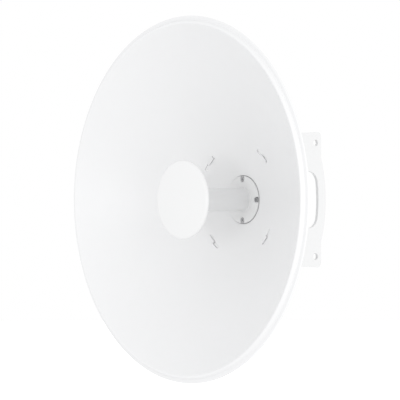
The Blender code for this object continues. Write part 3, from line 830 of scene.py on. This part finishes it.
def reflector_shell():
    """The spun sheet: two skins joined at the hub hole, the rolled edge and each mark's opening."""
    sizes = bpy.context.scene.antenna_reflector
    front, back, roll = reflector_lines()
    marks = {math.radians(90 * quarter + edge) for quarter in range(4) for edge in (MARK_START, MARK_END)}
    steps = {math.tau * column / sizes.columns for column in range(sizes.columns)}
    near = math.tau / sizes.columns / 4
    turns = sorted({step for step in steps if all(abs(step - mark) > near for mark in marks)} | marks)
    section = front + roll + back[::-1]
    points = [at(r * math.cos(turn), depth, r * math.sin(turn)) for r, depth in section for turn in turns]
    columns, rows, last = len(turns), len(section), len(section) - 1

    def point(row, column):
        return row % rows * columns + column % columns

    holes = set()
    for row in range(len(front) - 1):
        for column in range(columns):
            after = turns[(column + 1) % columns] + (math.tau if column + 1 == columns else 0)
            if in_mark(front[row][0], front[row + 1][0], turns[column], after):
                holes.add((row, column))
    faces = []
    for row in range(rows):
        mirrored = row if row < len(front) - 1 else last - row - 1
        for column in range(columns):
            if (mirrored, column) not in holes:
                corners = (row, column), (row, column + 1), (row + 1, column + 1), (row + 1, column)
                faces.append(tuple(point(*corner) for corner in corners))
    for row, column in holes:
        for beside, first, second in (
            ((row - 1, column), (row, column), (row, column + 1)),
            ((row + 1, column), (row + 1, column), (row + 1, column + 1)),
            ((row, (column - 1) % columns), (row, column), (row + 1, column)),
            ((row, (column + 1) % columns), (row, column + 1), (row + 1, column + 1)),
        ):
            if beside not in holes:
                through = [point(last - level, place) for level, place in (second, first)]
                faces.append((point(*first), point(*second), *through))
    return points, faces


def arc_block(inner, outer, outline, quarter):
    """Points and faces of a solid between two radii, from an outline of (angle, depth at a radius)."""
    points = []
    for radius in (inner, outer):
        for degrees, depth in outline:
            turn = math.radians(degrees + 90 * quarter)
            points.append(at(radius * math.cos(turn), depth(radius), radius * math.sin(turn)))
    return closed(points, len(outline))


def above_bowl(rise, *stops):
    """Outline points that follow the bowl at a height, one for each angle in degrees."""
    return [(degrees, lambda radius: bowl_depth(radius) + rise) for degrees in stops]


def degrees_between(start, end):
    """Angles from start to end in steps of about one degree."""
    steps = max(1, round(abs(end - start)))
    return [start + (end - start) * index / steps for index in range(steps + 1)]


def tab_outline():
    """The raised half of a mark, open along its sides and at both ends."""
    rise = bpy.context.scene.antenna_reflector.tab_rise
    free = MARK_START + TAB_SLOT
    top = above_bowl(rise, *degrees_between(free, MARK_MIDDLE))
    return top + above_bowl(rise - TAB_SHEET, *degrees_between(MARK_MIDDLE, free))


def neck_outline():
    """The narrow neck that carries the raised half out of the sheet."""
    rise = bpy.context.scene.antenna_reflector.tab_rise
    sunk, root, free = SHEET / 5, MARK_START - TAB_ROOT, MARK_START + TAB_SLOT
    top = above_bowl(-sunk, root, MARK_START) + above_bowl(rise - sunk, free, free + TAB_SLOT)
    floor = above_bowl(rise - TAB_SHEET + sunk, free + TAB_SLOT) + above_bowl(rise - TAB_SHEET, free)
    return top + floor + above_bowl(sunk - SHEET, MARK_START, root)


def hook_outline(foot):
    """An upright plate whose tongue turns sideways into a mark's opening, just under the bowl's surface."""
    top = above_bowl(-TONGUE_SUNK, *degrees_between(HOOK_START, HOOK_END))
    under = above_bowl(-TONGUE_DEEP, *degrees_between(HOOK_END, MARK_MIDDLE))
    base = [(degrees, lambda radius: foot) for degrees in degrees_between(MARK_MIDDLE, HOOK_START)]
    return top + under + base


class ANTENNA_OT_reflector(bpy.types.Operator):
    """Builds the spun reflector and the raised halves of its four lanced marks"""

    bl_idname = "antenna.reflector"
    bl_label = "Reflector"

    def execute(self, context):
        sizes = context.scene.antenna_reflector
        fit(add_mesh("reflector_shell", *reflector_shell()), "reflector_coat", "reflector")
        inner, outer = sizes.mark_inner + GAP, sizes.mark_outer - GAP
        middle = (inner + outer) / 2
        neck = middle - NECK_HALF_WIDTH, middle + NECK_HALF_WIDTH
        strips = [arc_block(inner, outer, tab_outline(), quarter) for quarter in range(4)]
        strips += [arc_block(*neck, neck_outline(), quarter) for quarter in range(4)]
        fit(eased(add_mesh("lanced_tabs", *gather(strips)), TAB_ROUND), "reflector_coat")
        return {"FINISHED"}


class ANTENNA_OT_feed(bpy.types.Operator):
    """Builds the feed's flange and tube, and the gasket under it"""

    bl_idname = "antenna.feed"
    bl_label = "Feed tube and gasket"

    def execute(self, context):
        body, gasket, screw = Span("feed_casting"), Span("feed_gasket"), Span("flange_screw_right")
        flange = body.width / 2
        corners = [
            (0, body.front, 0),
            (TUBE_RADIUS, body.front, FEED_ROUND),
            (TUBE_BASE_RADIUS, FLANGE_FRONT, TUBE_FILLET),
            (flange, FLANGE_FRONT, FEED_ROUND),
            (flange, FLANGE_REAR, FEED_ROUND / 2),
            (SPIGOT_RADIUS, FLANGE_REAR, 0),
            (SPIGOT_RADIUS, body.rear, FEED_ROUND),
            (0, body.rear, 0),
        ]
        tube = spun("feed_tube", corners, steps=8)
        inner = [(x, z) for z, x in arc((0, screw.across), RECESS_RADIUS, 90, 270, ROUND_SIDES // 4)]
        beyond = flange + RECESS_RADIUS
        outline = [(beyond, RECESS_RADIUS), *inner, (beyond, -RECESS_RADIUS)]
        floor = screw.front - SCREW_HEAD_HEIGHT - GAP
        recesses = []
        for quarter in range(4):
            turned_outline = [Vector(corner) @ Matrix.Rotation(-QUARTER * quarter, 2) for corner in outline]
            recesses.append(prism(turned_outline, along_boresight, floor, 2 * FLANGE_FRONT))
        cut(tube, recesses)
        fit(eased(tube, RECESS_ROUND, 2), "feed_plastic", "feed_casting")
        lip_outer = context.scene.antenna_reflector.seat_radius - GASKET_SNUG
        lip_inner, lip = flange + GASKET_SNUG, gasket.front - LIP_SUNK
        corners = [
            (HUB_BORE, GAP, 0),
            (lip_outer, GAP, LIP_FOOT_ROUND),
            (lip_outer, lip, LIP_ROUND),
            (lip_inner, lip, LIP_ROUND),
            (lip_inner, GAP + GASKET_SHEET, 0),
            (HUB_BORE, GAP + GASKET_SHEET, 0),
        ]
        fit(spun("feed_seal", corners, ring=True), "gasket_rubber", "feed_gasket")
        return {"FINISHED"}


class ANTENNA_OT_sub_reflector(bpy.types.Operator):
    """Builds the cone on the tube's end, the metal plate and the round cover"""

    bl_idname = "antenna.sub_reflector"
    bl_label = "Sub-reflector"

    def execute(self, context):
        cone, plate, cover = Span("feed_cone"), Span("sub_reflector"), Span("sub_reflector_cover")
        rim, collar = cone.width / 2, cone.rear + CONE_COLLAR_REAR
        corners = [
            (0, cone.front, 0),
            (rim, cone.front, RIM_ROUND),
            (rim, cone.front - CONE_RIM, CONE_RIM_ROUND),
            (CONE_WAIST, cone.front - CONE_WAIST_BACK, CONE_WAIST_ROUND),
            (CONE_COLLAR, cone.rear + CONE_COLLAR_FRONT, CONE_COLLAR_ROUND),
            (CONE_COLLAR, collar, EDGE_ROUND),
            (CONE_NECK, collar, FINE_ROUND),
            (CONE_NECK, cone.rear, FINE_ROUND),
            (0, cone.rear, 0),
        ]
        fit(spun("cone_body", corners), "cone_plastic", "feed_cone")
        edge = [(plate.width / 2, depth, EDGE_ROUND) for depth in (plate.front, plate.rear)]
        corners = [(0, plate.front, 0), *edge, (0, plate.rear, 0)]
        fit(spun("splash_plate", corners), "plate_aluminium", "sub_reflector")
        rim, hollow, boss = cover.width / 2, cover.front - COVER_SHEET, plate.front + GAP
        corners = [
            (0, cover.front, 0),
            (rim, cover.front, COVER_ROUND),
            (rim, cover.rear, RIM_ROUND),
            (rim - COVER_RIM, cover.rear, EDGE_ROUND),
            (rim - COVER_RIM, hollow, FINE_ROUND),
            (COVER_HOLLOW, hollow, FINE_ROUND),
            (COVER_BOSS, boss, BOSS_ROUND),
            (0, boss, 0),
        ]
        fit(spun("disc_cover", corners), "cover_plastic", "sub_reflector_cover")
        return {"FINISHED"}


def screw_body(span, place):
    """A low round head with a six-lobed socket, and a threaded shank behind it."""
    head, under, floor = span.width / 2, span.front - SCREW_HEAD_HEIGHT, span.front - SCREW_SOCKET_DEPTH
    bottom, wall, mouth = (star(*lobes) for lobes in SCREW_SOCKET)
    middle = (head - SCREW_HEAD_ROUND, span.front - SCREW_HEAD_ROUND)
    stations = [(0, floor), (bottom, floor), (wall, floor), (mouth, span.front)]
    stations += arc(middle, SCREW_HEAD_ROUND, 0, 90, HEAD_STEPS)
    stations += [(head, under), (SCREW_SHANK, under), (SCREW_SHANK, SCREW_PLAIN_END)]
    stations += thread(SCREW_SHANK, SCREW_PITCH, SCREW_THREAD_START, span.rear + SCREW_RUNOUT)
    stations += [(SCREW_TIP, span.rear), (0, span.rear)]
    return turned(stations, SMALL_SIDES, place)


def nut_body(corner, bore, front, rear, place):
    """A hexagon nut, chamfered on both faces."""
    flat = corner * HEXAGON_FLAT
    slope = (corner - flat * NUT_FACE) * NUT_SLOPE
    stations = [(bore, front)]
    stations += [(hexagon(corner, flat * reach), front - slope * share) for share, reach in NUT_CHAMFER]
    mirrored = [(radius, front + rear - depth) for radius, depth in reversed(stations)]
    return turned(stations + mirrored, SMALL_SIDES, place, ring=True)


def bolt_body(head_face, head_top, tip, place):
    """A hexagon bolt: washer face, chamfered head and threaded shank."""
    flat = BOLT_CORNER * HEXAGON_FLAT
    washer, thread_start = flat * NUT_FACE, head_face - BOLT_THREAD_START
    stations = [(0, head_top), (flat * BOLT_FACE, head_top)]
    stations += [(hexagon(BOLT_CORNER, flat * reach), head_top - drop) for drop, reach in BOLT_CHAMFER]
    stations += [(hexagon(BOLT_CORNER), head_face + BOLT_WASHER_STEP), (washer, head_face + BOLT_WASHER)]
    stations += [(washer, head_face), (BOLT_SHANK, head_face), (BOLT_SHANK, head_face - BOLT_PLAIN)]
    stations += thread(BOLT_SHANK, BOLT_PITCH, thread_start, tip + BOLT_RUNOUT, BOLT_THREAD_CUT)
    stations += [(BOLT_SHANK * BOLT_TIP_SHARE, tip), (0, tip)]
    return turned(stations, SMALL_SIDES, place)


def add_fastener(name, body, node):
    """A steel screw, bolt or nut that stands for its frame node."""
    fit(add_mesh(name, *body), "fastener_steel", node)


class ANTENNA_OT_flange_fasteners(bpy.types.Operator):
    """Builds the four flange screws and their nuts"""

    bl_idname = "antenna.flange_fasteners"
    bl_label = "Flange screws and nuts"

    def execute(self, context):
        for side in FLANGE_SCREWS:
            screw, nut = Span(f"flange_screw_{side}"), Span(f"flange_nut_{side}")
            place = on_boresight(screw.across, screw.up)
            add_fastener(f"pan_screw_{side}", screw_body(screw, place), f"flange_screw_{side}")
            body = nut_body(*FLANGE_NUT, nut.front, nut.rear, place)
            add_fastener(f"hexagon_nut_{side}", body, f"flange_nut_{side}")
        return {"FINISHED"}


class ANTENNA_OT_channel(bpy.types.Operator):
    """Builds the hub plate, the folded channel behind it and the four hooks on the channel's face"""

    bl_idname = "antenna.channel"
    bl_label = "Channel, hub plate and hooks"

    def execute(self, context):
        sizes, marks = context.scene.antenna_bracket, context.scene.antenna_reflector
        hub, web = Span("hub_plate"), Span("bracket_channel")
        outer = hub.width / 2
        ends = ((HUB_BORE, hub.front), (outer, hub.front), (outer, hub.rear), (HUB_BORE, hub.rear))
        disc = spun("hub_disc", [(*end, EDGE_ROUND) for end in ends], ring=True)
        fit(disc, "plate_aluminium", "hub_plate")

        half, inside = web.width / 2, web.width / 2 - sizes.sheet
        fold, inner_fold, floor = sizes.bend, sizes.bend - sizes.sheet, web.front - sizes.sheet
        corners = [
            (-half, web.rear, 0),
            (-half, web.front, fold),
            (half, web.front, fold),
            (half, web.rear, 0),
            (inside, web.rear, 0),
            (inside, floor, inner_fold),
            (-inside, floor, inner_fold),
            (-inside, web.rear, 0),
        ]
        block = prism(rounded(corners, steps=8), at, -web.height / 2, web.height / 2)
        channel = add_mesh("folded_channel", *block)
        screws = [Span(f"flange_screw_{side}") for side in FLANGE_SCREWS]
        drills = [(FEED_DRILL, 0.0, 0.0)] + [(SCREW_DRILL, screw.across, screw.up) for screw in screws]
        cutters = []
        for radius, across, up in drills:
            line = [(0, web.front + SHEET), (radius, web.front + SHEET), (radius, web.rear), (0, web.rear)]
            cutters.append(turned(line, SMALL_SIDES, on_boresight(across, up)))
        for bolt in ("upper_right_cheek_bolt", "lower_right_cheek_bolt"):
            span = Span(bolt)
            line = [(0, -web.width), (BOLT_HOLE, -web.width), (BOLT_HOLE, web.width), (0, web.width)]
            cutters.append(turned(line, SMALL_SIDES, on_cheek(1, -(span.front + span.rear) / 2, span.up)))
        cut(channel, cutters)
        fit(eased(channel, CHANNEL_ROUND), "bracket_coat", "bracket_channel")

        inner, outer = marks.mark_inner + HOOK_INSIDE, marks.mark_outer - HOOK_OUTSIDE
        for quarter, corner in enumerate(CORNERS):
            block = arc_block(inner, outer, hook_outline(web.front + GAP), quarter)
            hook = add_mesh(f"mark_hook_{corner}", *block)
            fit(eased(hook, HOOK_ROUND), "bracket_coat", f"hook_{corner}")
        return {"FINISHED"}


def cheek_outlines():
    """A cheek's outside and its openings, as (back, up) points."""
    sizes = bpy.context.scene.antenna_bracket
    span, bolt = Span("right_cheek"), Span("upper_right_cheek_bolt")
    front, bulge_rear, half = -span.front, -span.rear, span.height / 2
    front_half = half - (CHEEK_REAR - front) * math.tan(CHEEK_FLARE)
    bulge = bulge_rear - CHEEK_REAR
    radius = (CHEEK_HALF_CHORD**2 + bulge**2) / (2 * bulge)
    middle = bulge_rear - radius
    reach = math.degrees(math.asin(CHEEK_HALF_CHORD / radius))
    corners = [
        (front, -front_half, CHEEK_FRONT_ROUND),
        (CHEEK_REAR, -half, CHEEK_REAR_ROUND),
        *[(back, up, 0) for up, back in arc((0, middle), radius, -reach, reach, BULGE_STEPS)],
        (CHEEK_REAR, half, CHEEK_REAR_ROUND),
        (front, front_half, CHEEK_FRONT_ROUND),
    ]
    corner, inner = sizes.window_corner, radius - sizes.strip_width
    corner_up, corner_front = sizes.window_half_height - corner, sizes.window_front + corner
    swing = math.degrees(math.asin(corner_up / (inner - corner)))
    corner_back = middle + (inner - corner) * math.cos(math.radians(swing))
    window = []
    for centre, size, start, end in (
        ((0, middle), inner, -swing, swing),
        ((corner_up, corner_back), corner, swing + WINDOW_LEAD, 90),
        ((corner_up, corner_front), corner, 90, 180),
        ((-corner_up, corner_front), corner, 180, 270),
        ((-corner_up, corner_back), corner, 270, 360 - WINDOW_LEAD - swing),
    ):
        window += arc(centre, size, start, end, WINDOW_STEPS)
    holes, bolt_back = [], -(bolt.front + bolt.rear) / 2
    for side in (1, -1):
        clamp = (side * sizes.clamp_hole_up, sizes.clamp_hole_back)
        holes.append(circle(clamp, sizes.clamp_hole_radius, CLAMP_HOLE_SIDES))
        holes.append(circle((side * bolt.up, bolt_back), BOLT_HOLE, BOLT_HOLE_SIDES))
    openings = [[(back, up) for up, back in opening] for opening in (window, *holes)]
    return [rounded(corners, steps=10), *openings]


def cheek_plate(name, thickness, place):
    """A flat plate with rounded edges, from the cheeks' outlines."""
    edge = bpy.context.scene.antenna_bracket.edge_round
    curve = bpy.data.curves.new(name, "CURVE")
    curve.dimensions = "2D"
    curve.fill_mode = "BOTH"
    curve.extrude = thickness / 2 - edge
    curve.bevel_depth = edge
    curve.bevel_resolution = 3
    curve.offset = -edge
    for outline in cheek_outlines():
        spline = curve.splines.new("POLY")
        spline.points.add(len(outline) - 1)
        for point, (back, up) in zip(spline.points, outline):
            point.co = (back, up, 0, 1)
        spline.use_cyclic_u = True
    guide = add_object("cheek_guide", curve)
    mesh = bpy.data.meshes.new_from_object(guide.evaluated_get(bpy.context.evaluated_depsgraph_get()))
    mesh.transform(place)
    bpy.data.objects.remove(guide, do_unlink=True)
    bpy.data.curves.remove(curve)
    shape = bmesh.new()
    shape.from_mesh(mesh)
    bmesh.ops.remove_doubles(shape, verts=shape.verts, dist=WELD)
    shape.to_mesh(mesh)
    shape.free()
    return flat_kept(add_object(name, mesh))


class ANTENNA_OT_cheeks(bpy.types.Operator):
    """Builds the two thick cheeks with their windows and clamp holes"""

    bl_idname = "antenna.cheeks"
    bl_label = "Cheeks"

    def execute(self, context):
        upright = Matrix.Rotation(QUARTER, 4, "Z") @ Matrix.Rotation(QUARTER, 4, "X")
        for node in ("right_cheek", "left_cheek"):
            span = Span(node)
            place = Matrix.Translation(at(span.across, 0, 0)) @ upright
            fit(cheek_plate(f"{node}_plate", span.width, place), "bracket_coat", node)
        return {"FINISHED"}


class ANTENNA_OT_cheek_fasteners(bpy.types.Operator):
    """Builds the four bolts that hold the cheeks to the channel, and their nuts"""

    bl_idname = "antenna.cheek_fasteners"
    bl_label = "Cheek bolts and nuts"

    def execute(self, context):
        for side, name in ((1, "right"), (-1, "left")):
            cheek = Span(f"{name}_cheek")
            head_face = abs(cheek.across) + cheek.width / 2 + GAP
            for level in ("upper", "lower"):
                bolt, nut = Span(f"{level}_{name}_cheek_bolt"), Span(f"{level}_{name}_cheek_nut")
                place = on_cheek(side, -(bolt.front + bolt.rear) / 2, bolt.up)
                tip, head_top = (abs(bolt.across) + end * bolt.width / 2 for end in (-1, 1))
                body = bolt_body(head_face, head_top, tip, place)
                add_fastener(f"hexagon_bolt_{level}_{name}", body, f"{level}_{name}_cheek_bolt")
                inner, outer = (abs(nut.across) + end * nut.width / 2 for end in (-1, 1))
                body = nut_body(*CHEEK_NUT, outer, inner, place)
                add_fastener(f"cheek_nut_{level}_{name}", body, f"{level}_{name}_cheek_nut")
        return {"FINISHED"}


class ANTENNA_OT_housing(bpy.types.Operator):
    """Builds the feed housing, its lid, the lid screws and the two radio connectors"""

    bl_idname = "antenna.housing"
    bl_label = "Feed housing and connectors"

    def execute(self, context):
        for node, name, edge in HOUSING_PARTS:
            span = Span(node)
            half = span.width / 2
            corners = [(x * half, z * half, HOUSING_CORNER) for x, z in SQUARE]
            block = prism(rounded(corners, steps=10), along_boresight, span.rear, span.front)
            fit(eased(add_mesh(name, *block), edge), "housing_plastic", node)
        for corner in CORNERS:
            self.lid_screw(corner)
        for side in ("right", "left"):
            self.connector(side)
        return {"FINISHED"}

    def lid_screw(self, corner):
        """A low round head with a six-lobed socket in its rear face."""
        span = Span(f"lid_screw_{corner}")
        radius, rounding, floor = span.width / 2, LID_SCREW_ROUND, span.rear + LID_SOCKET_DEPTH
        bottom, mouth = (star(*lobes) for lobes in LID_SOCKET)
        stations = [(0, floor), (bottom, floor), (mouth, span.rear)]
        edge = arc((radius - rounding, -span.rear - rounding), rounding, 0, 90, HEAD_STEPS)
        stations += [(reach, -depth) for reach, depth in edge]
        stations += [(radius, span.front), (0, span.front)]
        head = turned(stations, SMALL_SIDES, on_boresight(span.across, span.up))
        add_fastener(f"lid_screw_head_{corner}", head, f"lid_screw_{corner}")

    def connector(self, side):
        """A hexagon base, a threaded barrel open at its end, and the insulator and pin inside it."""
        span = Span(f"radio_connector_{side}")
        place, mouth = on_boresight(span.across, span.up), span.rear
        foot, floor = span.front - CONNECTOR_BASE_HEIGHT, mouth + CONNECTOR_BORE_REACH
        base = hexagon(CONNECTOR_BASE)
        chamfer = hexagon(CONNECTOR_BASE, CONNECTOR_BASE * HEXAGON_FLAT * CONNECTOR_CHAMFER_SHARE)
        stations = [(0, span.front), (base, span.front), (base, foot + CONNECTOR_CHAMFER), (chamfer, foot)]
        stations += [(CONNECTOR_WAIST, foot), (CONNECTOR_WAIST, foot - CONNECTOR_WAIST_LENGTH)]
        start, end = foot - CONNECTOR_THREAD_START, mouth + CONNECTOR_RUNOUT
        stations += thread(CONNECTOR_BARREL, CONNECTOR_PITCH, start, end, CONNECTOR_THREAD_CUT)
        stations += [(CONNECTOR_MOUTH, mouth), (CONNECTOR_BORE, mouth), (CONNECTOR_BORE, floor), (0, floor)]
        body = turned(stations, SMALL_SIDES, place)
        fit(add_mesh(f"connector_body_{side}", *body), "connector_plating", f"radio_connector_{side}")
        radius, (face, back) = CONNECTOR_BORE - GAP, (mouth + reach for reach in INSULATOR_REACH)
        stations = [(0, back), (radius, back), (radius, face), (PIN_HOLE, face), (0, face)]
        body = turned(stations, SMALL_SIDES, place)
        fit(add_mesh(f"connector_insulator_{side}", *body), "connector_insulator")
        end, back = (mouth + reach for reach in PIN_REACH)
        tip = arc((0, -end - PIN_RADIUS), PIN_RADIUS, 90, 0, PIN_STEPS)
        stations = [(0, back), (PIN_RADIUS, back)] + [(reach, -depth) for reach, depth in tip]
        body = turned(stations, SMALL_SIDES // 3, place)
        fit(add_mesh(f"connector_pin_{side}", *body), "connector_plating")


class ANTENNA_OT_studio(bpy.types.Operator):
    """Builds the pale floor, the soft lights and the camera"""

    bl_idname = "antenna.studio"
    bl_label = "Studio"

    def execute(self, context):
        studio = context.scene.antenna_studio
        target = Vector(studio.target)
        self.floor(-studio.floor_drop, target)
        self.surround(studio.sky)
        self.panel("side_panel", target, studio.side_turn, studio.side_power, SIDE_PANEL, WARM_WHITE)
        self.panel("front_panel", target, studio.front_turn, studio.front_power, FRONT_PANEL, PLAIN_WHITE)
        self.camera(studio, target)
        context.scene.view_settings.view_transform = "Standard"
        context.scene.view_settings.look = "None"
        return {"FINISHED"}

    def floor(self, level, target):
        """A large round slab that only the camera sees, so that it casts no light or shadow."""
        under = level - FLOOR_THICKNESS
        rings = [(0, under), (FLOOR_RADIUS, under), (FLOOR_RADIUS, level), (0, level)]
        slab = turned(rings, SMALL_SIDES, lambda u, height, v: (target.x + u, target.y + v, height))
        floor = add_mesh("studio_floor", *slab)
        glow = {"Emission Color": (*PLAIN_WHITE, 1.0), "Emission Strength": FLOOR_GLOW}
        recipe = Recipe("floor_paint", 0.7, glow)
        haze = recipe.noise(0.8, detail=4.0)
        recipe.feed("Base Color", recipe.toned(FLOOR_WHITE, 1.0 + haze.sway(0.01)))
        floor.data.materials.append(recipe.material)
        floor.visible_diffuse = False
        floor.visible_glossy = False
        floor.visible_shadow = False

    def surround(self, strength):
        """Soft white light from all round, behind which the camera sees plain white."""
        world = bpy.data.worlds.new("studio_white")
        world.use_nodes = True
        tree = world.node_tree
        lighting = tree.nodes["Background"]
        seen = tree.nodes.new("ShaderNodeBackground")
        for background, level in ((lighting, strength), (seen, 1.0)):
            background.inputs["Color"].default_value = (*PLAIN_WHITE, 1.0)
            background.inputs["Strength"].default_value = level
        paths = tree.nodes.new("ShaderNodeLightPath")
        either = tree.nodes.new("ShaderNodeMixShader")
        tree.links.new(paths.outputs["Is Camera Ray"], either.inputs["Fac"])
        tree.links.new(lighting.outputs["Background"], either.inputs[1])
        tree.links.new(seen.outputs["Background"], either.inputs[2])
        tree.links.new(either.outputs["Shader"], tree.nodes["World Output"].inputs["Surface"])
        bpy.context.scene.world = world

    def panel(self, name, target, turn, strength, size, colour):
        """A soft light, level with the object and turned about it."""
        light = bpy.data.lights.new(name, "AREA")
        light.shape = "RECTANGLE"
        light.size, light.size_y = size
        light.energy = strength
        light.color = colour
        panel = add_object(name, light)
        panel.location = target + Vector((math.sin(turn), -math.cos(turn), 0)) * PANEL_DISTANCE
        panel.rotation_euler = (target - panel.location).to_track_quat("-Z", "Y").to_euler()

    def camera(self, studio, target):
        """The camera, which looks at the target from the photo's side."""
        lens = bpy.data.cameras.new("studio_camera")
        lens.lens = studio.lens
        lens.sensor_width = SENSOR_WIDTH
        lens.clip_start = CLIP_START
        lens.clip_end = CLIP_END
        camera = add_object("studio_camera", lens)
        turn, lift = studio.azimuth, studio.elevation
        away = Vector((math.sin(turn) * math.cos(lift), -math.cos(turn) * math.cos(lift), math.sin(lift)))
        camera.location = target + away * studio.distance
        camera.rotation_euler = (-away).to_track_quat("-Z", "Y").to_euler()
        bpy.context.scene.camera = camera


OPERATORS = (
    ANTENNA_OT_reflector,
    ANTENNA_OT_feed,
    ANTENNA_OT_sub_reflector,
    ANTENNA_OT_flange_fasteners,
    ANTENNA_OT_channel,
    ANTENNA_OT_cheeks,
    ANTENNA_OT_cheek_fasteners,
    ANTENNA_OT_housing,
    ANTENNA_OT_studio,
)
SETTINGS = {
    "antenna_reflector": ReflectorSizes,
    "antenna_bracket": BracketSizes,
    "antenna_colours": FinishColours,
    "antenna_studio": StudioSettings,
}


class VIEW3D_PT_antenna(bpy.types.Panel):
    """Lists the antenna's operators and settings"""

    bl_label = "Dish Antenna"
    bl_space_type = "VIEW_3D"
    bl_region_type = "UI"
    bl_category = "Antenna"

    def draw(self, context):
        for operator in OPERATORS:
            self.layout.operator(operator.bl_idname)
        for name, group in SETTINGS.items():
            box = self.layout.box()
            for prop in group.__annotations__:
                box.prop(getattr(context.scene, name), prop)


CLASSES = (*SETTINGS.values(), *OPERATORS, VIEW3D_PT_antenna)


def register():
    for kind in CLASSES:
        bpy.utils.register_class(kind)
    for name, group in SETTINGS.items():
        setattr(bpy.types.Scene, name, PointerProperty(type=group))


def unregister():
    for name in SETTINGS:
        delattr(bpy.types.Scene, name)
    for kind in reversed(CLASSES):
        bpy.utils.unregister_class(kind)


def main():
    register()
    for operator in OPERATORS:
        group, name = operator.bl_idname.split(".")
        getattr(getattr(bpy.ops, group), name)()


if __name__ == "__main__":
    main()
